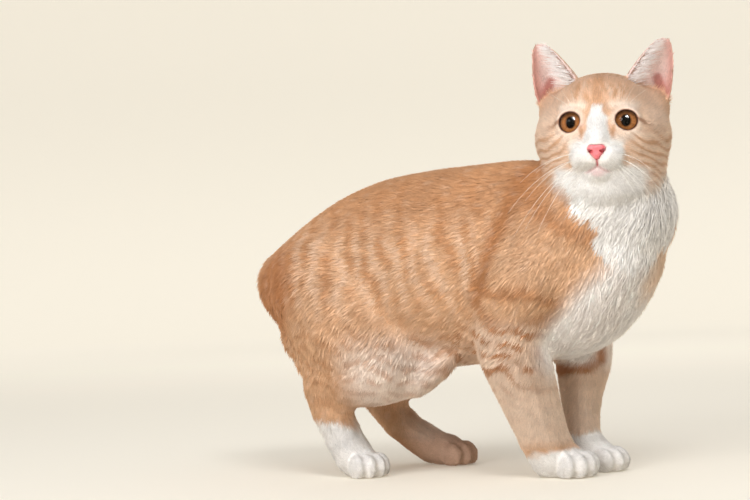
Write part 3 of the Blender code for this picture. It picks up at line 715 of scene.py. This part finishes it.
def unwrap_guide(skin):
    """A light copy of the skin, unwrapped: its tree, triangles, corners and their places on the unwrap."""
    guide = new_object("guide", skin.data.copy())
    modified(guide, "DECIMATE", ratio=GUIDE_TRIANGLES / len(guide.data.polygons))
    bpy.context.view_layer.objects.active = guide
    guide.select_set(True)
    bpy.ops.object.mode_set(mode="EDIT")
    bpy.ops.mesh.select_all(action="SELECT")
    bpy.ops.uv.smart_project(angle_limit=math.radians(66), island_margin=0.004)
    bpy.ops.object.mode_set(mode="OBJECT")
    points, triangles = mesh_arrays(guide)
    loops = np.empty(len(triangles) * 3, np.int32)
    guide.data.loop_triangles.foreach_get("loops", loops)
    flat = np.empty(len(guide.data.loops) * 2, np.float32)
    guide.data.uv_layers.active.data.foreach_get("uv", flat)
    corners = flat.reshape(-1, 2)[loops].reshape(-1, 3, 2)
    tree = BVHTree.FromPolygons(points.tolist(), triangles.tolist())
    bpy.data.objects.remove(guide)
    return tree, points[triangles], corners


def unwrapped(places, guide):
    """Where each place lies on the unwrap of the skin."""
    tree, triangles, corners = guide
    found = np.array([tree.find_nearest(place)[2] for place in places.tolist()])
    a, b, c = (triangles[found, k] for k in range(3))
    u, v, w = b - a, c - a, places - a
    uu, uv, vv = (u * u).sum(1), (u * v).sum(1), (v * v).sum(1)
    wu, wv = (w * u).sum(1), (w * v).sum(1)
    base = np.maximum(uu * vv - uv * uv, 1e-18)
    s = np.clip((vv * wu - uv * wv) / base, 0, 1)
    t = np.clip((uu * wv - uv * wu) / base, 0, 1 - s)
    flat = corners[found]
    return flat[:, 0] * (1 - s - t)[:, None] + flat[:, 1] * s[:, None] + flat[:, 2] * t[:, None]


def paint(obj, colours):
    """Gives each point of an object its own colour."""
    layer = obj.data.color_attributes.new("coat", "FLOAT_COLOR", "POINT")
    rows = np.ones((len(colours), 4), np.float32)
    rows[:, :3] = colours
    layer.data.foreach_set("color", rows.ravel())


def dressed(obj, material):
    """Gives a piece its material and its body."""
    obj.data.materials.append(material)
    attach(obj, "root")


# ---- the coat

EAR_TIP = 62.0  # above the eyes, past which the ears are bare
BARE_RING = 9.7  # round the eyes
SHADE_TILT = 0.22  # how far the shading turns across a tuft
REGIONS = ("head", "legs", "chest", "barrel", "loin", "rump")


def scatter(spots, triangles, seed):
    """Places spread evenly over the skin, as many as the coat wants there."""
    dice = np.random.default_rng(seed)
    corners = spots.points[triangles]
    area = np.linalg.norm(np.cross(corners[:, 1] - corners[:, 0], corners[:, 2] - corners[:, 0]), axis=1) / 2
    shares = np.full((len(triangles), 3), 1 / 3)
    mass = np.cumsum(area * 1e6 * coat_density(spots.within(triangles, shares)))
    steps = np.arange(0, int(mass[-1])) + dice.uniform(0, 1, int(mass[-1]))
    face = np.minimum(np.searchsorted(mass, steps), len(triangles) - 1)
    s, t = dice.uniform(size=(2, len(face)))
    flip = s + t > 1
    s, t = np.where(flip, 1 - s, s), np.where(flip, 1 - t, t)
    return spots.within(triangles[face], np.stack([1 - s - t, s, t], 1))


def tufts_of(points, shades, pattern, patch, root_shade_tip_light):
    """Many tufts of one kind: points, faces, shading normals, places on the unwrap, and painted shade and
    light along a tuft, darker at the root and lighter at the tip.
    """
    rows = np.stack(points, 1)
    count, corners = rows.shape[:2]
    faces = (np.array(pattern)[None] + corners * np.arange(count)[:, None, None]).reshape(-1, 3)
    return rows, faces, unit(np.stack(shades, 1)), np.array(patch) * TUFT_PATCH, np.array(root_shade_tip_light)


def spikes(place, normal, way, length, width, lift):
    """Thin closed tufts of four triangles."""
    across = np.cross(normal, way)
    root = place - normal * (width * 0.35)
    point = way * np.cos(lift) + normal * np.sin(lift)
    half = across * (width / 2)
    back = root + normal * (width * 0.7) + point * (length * 0.25)
    points = [root + half, root - half, back, place + point * length]
    shades = [normal + across * SHADE_TILT, normal - across * SHADE_TILT, normal, normal + way * 0.25]
    pattern = [(0, 1, 2), (0, 2, 3), (1, 3, 2), (0, 3, 1)]
    patch = [(-0.5, -0.5), (0.5, -0.5), (0, -0.1), (0, 0.5)]
    # The last numbers are painted shade and light along each tuft: darker at the root, lighter at the tip
    return tufts_of(points, shades, pattern, patch, (0.93, 0.93, 0.99, 1.04))


def locks(place, normal, way, length, width, lift):
    """Thin closed locks of ten triangles that rise and bend back to lie along the body."""
    length, width, lift, bend = length * 1.3, width * 1.2, lift * 1.15, lift * 1.3
    across = np.cross(normal, way)
    first = way * np.cos(lift) + normal * np.sin(lift)
    turned = lift - bend
    second = way * np.cos(turned) + normal * np.sin(turned)
    root = place - normal * (width * 0.3)
    waist = place + first * (length * 0.45)
    half, thick = width / 2, width * 0.42
    points = [root + across * half * 0.8, root - across * half * 0.8, root + normal * thick]
    points += [waist + across * half, waist - across * half, waist + normal * thick]
    points += [waist + second * (length * 0.55)]
    shades = [normal + across * SHADE_TILT, normal - across * SHADE_TILT, normal] * 2
    shades += [normal + way * 0.3]
    pattern = [(0, 1, 2), (0, 5, 3), (0, 2, 5), (1, 5, 2), (1, 4, 5), (0, 4, 1), (0, 3, 4)]
    pattern += [(3, 5, 6), (4, 6, 5), (3, 6, 4)]
    patch = [(-0.5, -0.5), (0.5, -0.5), (0, -0.4), (-0.4, 0), (0.4, 0), (0, 0), (0, 0.5)]
    # The last numbers are painted shade and light along each lock: darker at the root, lighter at the tip
    return tufts_of(points, shades, pattern, patch, (0.90, 0.90, 0.93, 0.98, 0.98, 1.01, 1.05))


def coat_piece(name, made, colours, flat):
    """An object of tufts, painted and unwrapped."""
    rows, faces, shade, patch, root_shade_tip_light = made
    rows[:, :, 2] = np.maximum(rows[:, :, 2], LOWEST_TUFT)
    obj = object_of(name, rows.reshape(-1, 3), faces)
    # Painted shade at each tuft's root and painted light at its tip
    tones = colours[:, None, :] * root_shade_tip_light[None, :, None]
    paint(obj, np.clip(tones, 0, 0.97).reshape(-1, 3))
    places = np.clip((flat[:, None, :] + patch[None]).reshape(-1, 2), 0, 1).astype(np.float32)
    layer = obj.data.uv_layers.new(name=UV_NAME)
    layer.data.foreach_set("uv", np.ascontiguousarray(places[faces.ravel()]).ravel())
    obj.data.normals_split_custom_set_from_vertices(shade.reshape(-1, 3).tolist())
    dressed(obj, COAT_MATERIAL)


def coat_density(spots):
    """Tufts to a square millimetre."""
    x, y, z = spots.local.T
    steps = [(1.3, spots.leg), (2.2, spots.paw), (2.4, spots.head)]
    amount = settled(np.full(len(z), 1.0), [*steps, (1.8 - 1.3 * ear_inside(spots), spots.ear)])
    leather = (np.abs(y) < 8.0) & (z < -16.5) & (z > -30) & (x > 44)
    bare = (spots.points[:, 2] < 0.0015) | ((spots.eye < BARE_RING) & (spots.head > 0.5))
    bare |= ((spots.ear > 0.5) & (z > EAR_TIP)) | (leather & (spots.nose < 9.5))
    return np.where(bare, 0.0, amount) * COAT_SHARE


def coat_sizes(spots):
    """Length and width of the tufts at each place, in metres."""
    length = 0.0026 + coat_depth(spots) * 2.1
    width = np.full(len(length), 0.00085)
    face = 0.0022 + 0.0046 * ramp(np.linalg.norm(spots.local - (50, 0, -22), axis=1), 18, 62)
    near_eye = ramp(spots.eye, 15, 10) * spots.head
    lengths = [(0.0058, spots.leg), (0.0022, spots.paw), (face, spots.head), (0.0030, spots.ear)]
    widths = [(0.00072, spots.leg), (0.00055, spots.paw), (0.00056, spots.head)]
    length = settled(length, [*lengths, (0.0016, near_eye)])
    return length, settled(width, [*widths, (0.00042, near_eye)])


def make_coat(skin, guide):
    """Tufts over the whole skin, in pieces small enough to be kept."""
    points, triangles = mesh_arrays(skin)
    spots = scatter(skin_spots(points, triangles, (20, 3)), triangles, 5)
    count = len(spots.points)
    dice = np.random.default_rng(6)
    place, normal = spots.points, spots.normals
    length, width = coat_sizes(spots)
    way = lie_of(spots)
    across = np.cross(normal, way)
    swing = 0.16 * waves(place, 0.018, 51) + 0.14 * waves(place, 0.006, 52) + dice.normal(0, 0.13, count)
    way = unit(way * np.cos(swing)[:, None] + across * np.sin(swing)[:, None])
    length = length * dice.uniform(0.75, 1.25, count)
    width = width * dice.uniform(0.8, 1.25, count) / COAT_SHARE**0.5
    depth = coat_depth(spots)
    lift = np.clip(np.arcsin(np.clip(depth * 0.8 / length, 0.05, 0.5)), 0.08, 0.5)
    lift = lift * dice.uniform(0.55, 1.35, count)
    spread = 0.06 + 0.07 * spots.head
    tone = (1 + dice.uniform(-1, 1, count) * spread) * (1 + 0.04 * waves(place, 0.005, 53))
    hanging = place + way * (length * 0.55)[:, None]
    colours = coat_colour(spots.moved(hanging, normal)) * tone[:, None]
    flat = unwrapped(place, guide)
    is_lock = dice.uniform(size=count) < 0.10 + 0.20 * ramp(depth, 0.0032, 0.0044)
    is_lock &= depth > 0.0024
    x = place[:, 0]
    tests = [spots.head > 0.5, spots.leg > 0.5, x > 0.075, x > -0.02, x > -0.09]
    region = np.select(tests, REGIONS[:-1], REGIONS[-1])
    for name in REGIONS:
        for kind, chosen, make, faces_each in (("tufts", ~is_lock, spikes, 4), ("locks", is_lock, locks, 10)):
            rows = np.flatnonzero((region == name) & chosen)
            if not len(rows):
                continue
            parts = math.ceil(len(rows) * faces_each / COAT_PIECE)
            order = rows[np.argsort(place[rows, 1], kind="stable")]
            for number, some in enumerate(np.array_split(order, parts)):
                sizes = (values[some, None] for values in (length, width, lift))
                made = make(place[some], normal[some], way[some], *sizes)
                coat_piece(f"coat_{name}_{kind}_{number + 1}", made, colours[some], flat[some])


# ---- materials

NOISE_RANGE = (0.3, 0.7)  # in which most of a noise lies


class Look:
    """A new material, with short ways to add nodes to it."""

    def __init__(self, name):
        self.made = bpy.data.materials.new(name)
        self.made.use_nodes = True
        self.nodes = self.made.node_tree.nodes
        self.shader = self.nodes["Principled BSDF"]

    def feed(self, node, inputs):
        """Links a node's inputs to sockets, and sets those given as plain values."""
        for name, value in inputs.items():
            if isinstance(value, bpy.types.NodeSocket):
                self.made.node_tree.links.new(value, node.inputs[name])
            else:
                node.inputs[name].default_value = value

    def add(self, kind, output, inputs, **settings):
        """One output of a new node."""
        node = self.nodes.new("ShaderNode" + kind)
        for name, value in settings.items():
            setattr(node, name, value)
        self.feed(node, inputs)
        return node.outputs[output]

    def place(self):
        """The place on the object."""
        return self.add("TexCoord", "Object", {})

    def split(self, vector, axis):
        """One number of a vector."""
        return self.add("SeparateXYZ", axis, {"Vector": vector})

    def noise(self, scale, **more):
        """Noise of a scale."""
        return self.add("TexNoise", "Fac", {"Scale": scale, **more})

    def mapped(self, value, ends, amounts, kind="LINEAR"):
        """A value taken from one range to another."""
        inputs = {"Value": value, "From Min": ends[0], "From Max": ends[1]}
        inputs.update({"To Min": amounts[0], "To Max": amounts[1]})
        return self.add("MapRange", "Result", inputs, interpolation_type=kind)

    def mix(self, share, first, second, kind="MIX"):
        """Two colours mixed, or multiplied."""
        inputs = {"Factor": share, "A": first, "B": second}
        return self.add("Mix", "Result", inputs, data_type="RGBA", blend_type=kind)

    def math(self, kind, *values):
        """A sum worked out for every point."""
        return self.add("Math", 0, dict(enumerate(values)), operation=kind)

    def tones(self, value, stops):
        """A colour for a value, from stops of place and colour."""
        node = self.nodes.new("ShaderNodeValToRGB")
        marks = node.color_ramp.elements
        marks.remove(marks[1])
        marks[0].position = stops[0][0]
        marks[0].color = (*stops[0][1], 1)
        for place, colour in stops[1:]:
            marks.new(place).color = (*colour, 1)
        self.feed(node, {"Fac": value})
        return node.outputs["Color"]

    def bump(self, height, strength, distance):
        """A normal roughened by a height."""
        inputs = {"Height": height, "Strength": strength, "Distance": distance}
        return self.add("Bump", "Normal", inputs)

    def done(self, **inputs):
        """The material, once the inputs of its surface are set; their names have _ for a space."""
        self.feed(self.shader, {name.replace("_", " "): value for name, value in inputs.items()})
        return self.made


def painted(look, place, scale, low, high):
    """The painted colour, varied a little by fine noise."""
    colour = look.add("Attribute", "Color", {}, attribute_name="coat")
    spread = look.mapped(look.noise(scale, Detail=3, Vector=place), NOISE_RANGE, (low, high))
    return look.mix(1.0, colour, spread, "MULTIPLY")


def coat_material():
    """Soft hair: the painted colour with a faint silky gloss."""
    look = Look("coat")
    tint = painted(look, look.place(), 700, 0.93, 1.07)
    return look.done(Base_Color=tint, Roughness=0.62, Specular_IOR_Level=0.25)


def skin_material():
    """The short undercoat: the same markings, with fine bump."""
    look = Look("undercoat")
    place = look.place()
    tint = painted(look, place, 420, 0.86, 1.10)
    hair = look.bump(look.noise(900, Detail=4, Vector=place), 0.5, 0.0006)
    return look.done(Base_Color=tint, Roughness=0.75, Specular_IOR_Level=0.2, Normal=hair)


def hair_material(name, scale, low, high, roughness):
    """Pale hair between two tones."""
    look = Look(name)
    tone = look.tones(look.noise(scale), ((0, low), (1, high)))
    return look.done(Base_Color=tone, Roughness=roughness)


COAT_MATERIAL = coat_material()


# ---- eyes

EYEBALL = 10.5  # millimetres, as the radii below
IRIS_RADIUS = 8.6
CORNEA_RADIUS = 9.3
POLE = 0.02  # radius at the ends of a surface of revolution
IRIS_EDGE, IRIS_MIDDLE = 5.9, 6.9  # how far out along the axis the iris begins and ends
PUPIL_WIDE, PUPIL_TALL = 0.88, 1.12
# From the middle of the pupil to the rim
IRIS_TONES = (
    (0.00, (0.002, 0.0015, 0.001)), (0.40, (0.003, 0.002, 0.001)), (0.45, (0.12, 0.045, 0.014)),
    (0.56, (0.36, 0.14, 0.045)), (0.80, (0.32, 0.12, 0.038)), (0.87, (0.22, 0.080, 0.027)),
    (0.92, (0.05, 0.022, 0.010)), (1.00, (0.012, 0.007, 0.004)),
)


def iris_material(side):
    """Amber iris with fine radial fibres, a black pupil and a dark rim, painted by distance from the axis."""
    look = Look(f"iris_{side}")
    place = look.add("Attribute", "Vector", {}, attribute_name="iris_place")
    out, turn, up = (look.split(place, axis) for axis in "XYZ")
    spread = look.add("CombineXYZ", "Vector", {"X": look.math("MULTIPLY", turn, 16.0), "Y": out})
    inputs = {"Scale": 1.0, "Detail": 3, "Vector": spread}
    fibres = look.add("TexNoise", "Fac", inputs, noise_dimensions="2D")
    vary = look.mapped(fibres, NOISE_RANGE, (0.70, 1.35))
    colour = look.mix(1.0, look.tones(out, IRIS_TONES), vary, "MULTIPLY")
    lid_shade = look.mapped(up, (0.05, 0.85), (1.0, 0.25), "SMOOTHSTEP")
    colour = look.mix(1.0, colour, lid_shade, "MULTIPLY")
    return look.done(Base_Color=colour, Roughness=0.5, Specular_IOR_Level=0.0)


def cornea_material():
    """A clear wet film: what it mirrors, over what lies behind it."""
    look = Look("cornea")
    look.nodes.remove(look.shader)
    steep = look.math("POWER", look.add("LayerWeight", "Facing", {"Blend": 0.5}), 5.0)
    share = look.math("MULTIPLY_ADD", steep, 0.6, 0.012)
    clear = look.add("BsdfTransparent", "BSDF", {})
    gloss = look.add("BsdfGlossy", "BSDF", {"Roughness": 0.12})
    both = look.add("MixShader", "Shader", {"Fac": share, 1: clear, 2: gloss})
    look.feed(look.nodes["Material Output"], {"Surface": both})
    return look.made


def across_axis(axis):
    """The two directions square to an axis: aside and above."""
    aside = unit(np.cross((0, 0, 1), axis))
    return aside, np.cross(axis, aside)


def spun(name, profile, centre, axis):
    """A surface of revolution: rows of distance along the axis and radius, in millimetres."""
    spokes = 64
    aside, above = across_axis(unit(axis))
    angles = np.arange(spokes) * 2 * math.pi / spokes
    spoke = np.cos(angles)[:, None] * aside + np.sin(angles)[:, None] * above
    rings = [unit(axis) * along + spoke * radius for along, radius in profile]
    points = from_head(to_head(centre)[None] + np.vstack(rings))
    return object_of(name, points, ring_faces(len(rings), spokes))


def leg_of(long_side, side):
    """The third side of a right triangle."""
    return math.sqrt(long_side**2 - side**2)


def make_eye(side, film):
    """The ball with its iris, sunk a little behind a clear cornea."""
    axis = eye_axis(side)
    ball = [(-EYEBALL, POLE)]
    for k in range(1, 22):
        turn = math.pi - k * math.pi / 26
        along, radius = EYEBALL * math.cos(turn), EYEBALL * math.sin(turn)
        if along > 0 and radius < IRIS_RADIUS:
            break
        ball.append((along, radius))
    ball.append((leg_of(EYEBALL, IRIS_RADIUS), IRIS_RADIUS))
    for share in np.linspace(1, 0, 15)[1:]:
        rise = (IRIS_MIDDLE - IRIS_EDGE) * (1 - share)
        ball.append((IRIS_EDGE + rise, max(POLE, IRIS_RADIUS * share)))
    obj = spun(f"eyeball_{side}", ball, EYE[side], axis)
    along, flat = from_eye(to_head(mesh_arrays(obj)[0]), side)
    aside, above = across_axis(axis)
    u, v = flat @ aside, flat @ above
    reach = np.hypot(u, v) / (IRIS_RADIUS + 0.6)
    slit = np.hypot(u / PUPIL_WIDE, v / PUPIL_TALL) / (IRIS_RADIUS + 0.6)
    place = toward(reach, slit, ramp(reach, 0.62, 0.40))
    rows = np.stack([np.where(along < 0, 1.0, place), np.arctan2(v, u), v / IRIS_RADIUS], 1)
    layer = obj.data.attributes.new("iris_place", "FLOAT_VECTOR", "POINT")
    layer.data.foreach_set("vector", rows.astype(np.float32).ravel())
    dressed(obj, iris_material(side))
    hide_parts(f"eye_{side}")
    rim = IRIS_RADIUS + 0.35
    back = leg_of(EYEBALL, rim) - leg_of(CORNEA_RADIUS, rim)
    turns = math.asin(rim / CORNEA_RADIUS) * np.linspace(1, 0, 16)
    dome = [(back + CORNEA_RADIUS * math.cos(a), max(POLE, CORNEA_RADIUS * math.sin(a))) for a in turns]
    clear = spun(f"cornea_{side}", dome, EYE[side], axis)
    dressed(clear, film)
    return clear


# ---- whiskers, nose and ear hair

# Root, direction, length and droop, in the head's frame; mirrored to the other side
WHISKERS = (
    ((45.0, 9.0, -23.5), (0.40, 1.0, 0.10), 44, 20),
    ((43.5, 12.0, -24.0), (0.30, 1.0, 0.04), 52, 26),
    ((45.0, 10.5, -27.0), (0.36, 1.0, -0.16), 58, 30),
    ((42.5, 14.0, -27.5), (0.22, 1.0, -0.22), 62, 34),
    ((45.0, 10.0, -30.5), (0.30, 1.0, -0.40), 56, 34),
    ((42.5, 13.5, -31.0), (0.22, 1.0, -0.50), 60, 34),
    ((43.0, 12.0, -33.5), (0.20, 1.0, -0.75), 50, 30),
    ((44.5, 7.5, -26.0), (0.60, 0.8, -0.30), 32, 18),
)
WHISKER_REACH = {-1: 0.85, 1: 0.62}  # those of the chest's side are kept near the solids' box
WHISKER_POINTS, EAR_HAIR_POINTS = 12, 6
NOSTRIL = (51.0, 5.0, -22.0)  # mirrored for the other one
NOSTRIL_REACH = (0.0010, 0.0026)  # metres: fully dark within the first, plain leather past the second
# Painted shade in the nostril openings
NOSTRIL_SHADE = linear(118, 22, 34)


def ribbon(lines, radii, sides):
    """Thin tapered tubes along lines of points, as one mesh: points and faces."""
    points, faces, base = [], [], 0
    turns = 2 * math.pi * np.arange(sides)[:, None] / sides
    for line, radius in zip(lines, radii):
        along = unit(np.gradient(line, axis=0))
        first = unit(np.cross(along[0], (0.3, 0.2, 1.0)))
        aside = unit(first - (along @ first)[:, None] * along)
        above = np.cross(along, aside)
        spokes = aside[:, None] * np.cos(turns) + above[:, None] * np.sin(turns)
        points.append((line[:, None] + spokes * radius[:, None, None]).reshape(-1, 3))
        faces += ring_faces(len(line), sides, base)
        last = base + (len(line) - 1) * sides
        for k in range(1, sides - 1):
            faces += [(base, base + k + 1, base + k), (last, last + k, last + k + 1)]
        base = last + sides
    return np.vstack(points), faces


def whisker(root, way, length, droop):
    """A line that leaves the face along a direction and falls in a long curve."""
    steps = np.linspace(0, 1, WHISKER_POINTS)[:, None]
    way = unit(np.asarray(way, float))
    line = np.asarray(root, float) + way * length * steps + np.array((0, 0, -1.0)) * droop * steps**2
    line = line + np.array((-1.0, 0, 0)) * (length * 0.10) * steps**2
    return from_head(line)


def make_whiskers():
    """Whiskers on the pads and over the eyes."""
    lines, radii = [], []
    dice = np.random.default_rng(9)
    for s in SIDES.values():
        for root, way, length, droop in WHISKERS:
            jitter = dice.uniform(-0.06, 0.06, 3)
            start = (root[0] - 1.5, root[1] * s, root[2])
            direction = (way[0] + jitter[0], (way[1] + jitter[1]) * s, way[2] + jitter[2])
            reach = dice.uniform(0.9, 1.08) * WHISKER_REACH[s]
            lines.append(whisker(start, direction, length * reach, droop * reach))
            radii.append(np.linspace(0.00018, 0.00004, WHISKER_POINTS))
        for k, (out, up) in enumerate(((0.15, 1.0), (0.5, 1.0), (0.9, 0.8))):
            start = (27.5 - k, (17 + 2.5 * k) * s, 12.5)
            lines.append(whisker(start, (0.55, out * s, up), 17 + 3 * k, 3))
            radii.append(np.linspace(0.00010, 0.00003, WHISKER_POINTS))
    obj = object_of("whiskers", *ribbon(lines, radii, 4))
    made = hair_material("whisker", 60, (0.80, 0.74, 0.66), (0.95, 0.93, 0.90), 0.35)
    dressed(obj, made)


def make_ear_hair():
    """Pale hair that fans out across each ear from its inner edge."""
    dice = np.random.default_rng(10)
    lines, radii = [], []
    steps = np.linspace(0, 1, EAR_HAIR_POINTS)[:, None]
    for s in SIDES.values():
        for _ in range(EAR_HAIRS):
            t = dice.uniform(0, 1)
            rim = np.array((2 - 6 * t, 20 + 22 * t, 30 + 31 * t))
            rim += (dice.uniform(-1, 2.2), dice.uniform(-2.5, 1.5), dice.uniform(-3, 2.5))
            way = np.array((dice.uniform(-0.1, 0.25), 1.0, dice.uniform(0.0, 0.45)))
            length = dice.uniform(9, 19) * (1 - 0.55 * t)
            line = rim + unit(way) * length * steps + np.array((-1, 0, 0)) * length * 0.22 * steps**2
            line[:, 1] *= s
            lines.append(from_head(line))
            radii.append(np.linspace(0.00026, 0.00005, EAR_HAIR_POINTS))
    obj = object_of("ear_hair", *ribbon(lines, radii, 3))
    made = hair_material("ear_hair", 90, linear(244, 230, 224), linear(252, 248, 246), 0.6)
    dressed(obj, made)


def nose_material(nose):
    """Moist pink leather with a fine pebbled grain, and painted shade darkening it towards both nostrils."""
    look = Look("nose_leather")
    place = look.place()
    grain = look.add("TexVoronoi", "Distance", {"Scale": 1500, "Vector": place})
    pinks = ((0.3, linear(222, 104, 112)), (0.7, linear(244, 140, 146)))
    colour = look.tones(look.noise(260, Vector=place), pinks)
    for s in SIDES.values():
        hole = nose.matrix_world.inverted() @ Vector(from_head((NOSTRIL[0], NOSTRIL[1] * s, NOSTRIL[2])))
        gap = look.add("VectorMath", "Value", {0: place, 1: hole}, operation="DISTANCE")
        near = look.mapped(gap, NOSTRIL_REACH, (0.8, 0.0), "SMOOTHSTEP")
        # painted shade of this nostril's opening
        colour = look.mix(near, colour, (*NOSTRIL_SHADE, 1))
    return look.done(Base_Color=colour, Roughness=0.42, Normal=look.bump(grain, 0.35, 0.0002))


def dress_nose():
    """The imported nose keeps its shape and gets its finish."""
    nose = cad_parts["nose"]
    leather = nose_material(nose)
    if not nose.material_slots:
        nose.data.materials.append(leather)
    for slot in nose.material_slots:
        slot.material = leather


# ---- floor, light and camera

FLAT_FLOOR, BOWL = 2.6, 2.6  # metres: the flat part's radius, and the radius of the curve round it
GLOW_REACH, GLOW_ALONG = (0.8, 2.7), (0.15, 0.41)  # how the floor's glow grows away from the cat
GLOW_HEIGHT, GLOW_UP = (0.0, 0.7), (1.0, 0.72)  # how it fades up the wall
CAT_MIDDLE = (0.02, 0.0, 0.16)
# Place, what it faces, size, power and colour
LAMPS = {
    "key": ((0.72, -0.93, 1.55), CAT_MIDDLE, 0.60, 11.5, (0.95, 0.97, 1.0)),
    "glint": ((1.12, -0.98, 1.24), tuple(head_centre), 0.42, 320, (1.0, 1.0, 1.0)),
    "fill": ((-0.4, -2.4, 0.8), CAT_MIDDLE, 1.4, 31, (0.94, 0.96, 1.0)),
    "back": ((-0.6, 1.5, 1.1), CAT_MIDDLE, 1.2, 4, (1.0, 0.98, 0.96)),
}
CAMERA_TURN = math.radians(27)
CAMERA_DISTANCE = 1.6
CAMERA_HEIGHT = 0.1788
CAMERA_ROLL = math.radians(2.2)
FOCAL_PIXELS = 2000  # for a picture 750 pixels wide
AIM_PIXEL = 440  # column in which the axis of the aim point stands
PICTURE_WIDTH = 750
SENSOR = 36  # millimetres
AIM_FROM_HEAD = (-0.1483, 0.012)  # from the middle of the head to that axis, in plan


def floor_material():
    """A plain pale tone that glows a little more away from the cat."""
    look = Look("floor")
    place = look.place()
    flat = look.add("VectorMath", "Vector", {0: place, 1: (1, 1, 0)}, operation="MULTIPLY")
    reach = look.add("VectorMath", "Value", {0: flat}, operation="LENGTH")
    along = look.mapped(reach, GLOW_REACH, GLOW_ALONG, "SMOOTHSTEP")
    up = look.mapped(look.split(place, "Z"), GLOW_HEIGHT, GLOW_UP, "SMOOTHSTEP")
    glow = {"Emission_Color": (0.93, 0.87, 0.74, 1), "Emission_Strength": look.math("MULTIPLY", along, up)}
    tone = look.tones(look.noise(3), ((0, (0.80, 0.745, 0.645)), (1, (0.82, 0.765, 0.665))))
    return look.done(Base_Color=tone, Roughness=0.95, Specular_IOR_Level=0.1, **glow)


def make_floor():
    """A plain pale floor that curves up into a wall all round."""
    turns = np.linspace(0, math.pi / 2, 25)[1:]
    profile = [(0.6, 0.0), (FLAT_FLOOR, 0.0)]
    profile += [(FLAT_FLOOR + BOWL * math.sin(a), BOWL - BOWL * math.cos(a)) for a in turns]
    spokes = 96
    angles = np.arange(spokes) * 2 * math.pi / spokes
    rings = [np.stack([r * np.cos(angles), r * np.sin(angles), np.full(spokes, h)], 1) for r, h in profile]
    points = np.vstack([np.zeros((1, 3)), *rings])
    faces = [(0, 1 + k, 1 + (k + 1) % spokes) for k in range(spokes)]
    faces += [face[::-1] for face in ring_faces(len(rings), spokes, 1)]
    obj = object_of("floor", points, faces)
    obj.data.materials.append(floor_material())


def facing(way):
    """A turn whose own -Z axis points along a direction."""
    return way.to_track_quat("-Z", "Y").to_matrix().to_4x4()


def add_light(name, place, aim, size, power, colour):
    """A soft square light that faces a point."""
    lamp = bpy.data.lights.new(name, "AREA")
    lamp.size = size
    lamp.energy = power
    lamp.color = colour
    obj = new_object(name, lamp)
    obj.matrix_world = Matrix.Translation(place) @ facing(Vector(aim) - Vector(place))
    return obj


def make_camera():
    """The photograph's view."""
    back = np.array([math.sin(CAMERA_TURN), -math.cos(CAMERA_TURN), 0])
    aim = head_centre[:2] + AIM_FROM_HEAD
    place = back * CAMERA_DISTANCE + (aim[0], aim[1], CAMERA_HEIGHT)
    pan = math.atan((AIM_PIXEL - PICTURE_WIDTH / 2) / FOCAL_PIXELS)
    right = np.array([math.cos(CAMERA_TURN), math.sin(CAMERA_TURN), 0])
    ahead = -back * math.cos(pan) - right * math.sin(pan)
    level_right = right * math.cos(pan) - back * math.sin(pan)
    level_up = np.array([0, 0, 1.0])
    right = level_right * math.cos(CAMERA_ROLL) - level_up * math.sin(CAMERA_ROLL)
    up = level_up * math.cos(CAMERA_ROLL) + level_right * math.sin(CAMERA_ROLL)
    data = bpy.data.cameras.new("camera")
    data.sensor_width = SENSOR
    data.lens = FOCAL_PIXELS / PICTURE_WIDTH * SENSOR
    data.clip_end = 20
    obj = new_object("camera", data)
    obj.matrix_world = Matrix.Translation(place) @ Matrix((right, up, -ahead)).transposed().to_4x4()
    bpy.context.scene.camera = obj


def make_stage(corneas):
    """Floor, lights, sky and camera; one small bright lamp lights only the corneas, as their catchlight."""
    make_floor()
    make_camera()
    lamps = {name: add_light(name, *lamp) for name, lamp in LAMPS.items()}
    mirrors = bpy.data.collections.new("mirrors")
    for cornea in corneas:
        mirrors.objects.link(cornea)
    lamps["glint"].light_linking.receiver_collection = mirrors
    sun = bpy.data.lights.new("sun", "SUN")
    sun.angle = math.radians(60)
    sun.energy = 0.4
    new_object("sun", sun).matrix_world = facing(Vector((-0.1, 1.0, -0.6)))
    world = bpy.data.worlds.new("studio")
    world.use_nodes = True
    sky = world.node_tree.nodes["Background"]
    sky.inputs["Color"].default_value = (0.92, 0.95, 1.0, 1)
    sky.inputs["Strength"].default_value = 0.49
    bpy.context.scene.world = world
    bpy.context.scene.view_settings.view_transform = "Standard"


# ---- everything

skin = make_skin()
guide = unwrap_guide(skin)
skin_points, skin_triangles = mesh_arrays(skin)
# The skin is painted 8% darker than the coat above it, as painted shade under the tufts
paint(skin, coat_colour(skin_spots(skin_points, skin_triangles, (20, 3))) * 0.92)
dressed(skin, skin_material())
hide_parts(*FLESH)
make_coat(skin, guide)
film = cornea_material()
corneas = [make_eye(side, film) for side in SIDES]
dress_nose()
make_ear_hair()
make_whiskers()
make_stage(corneas)
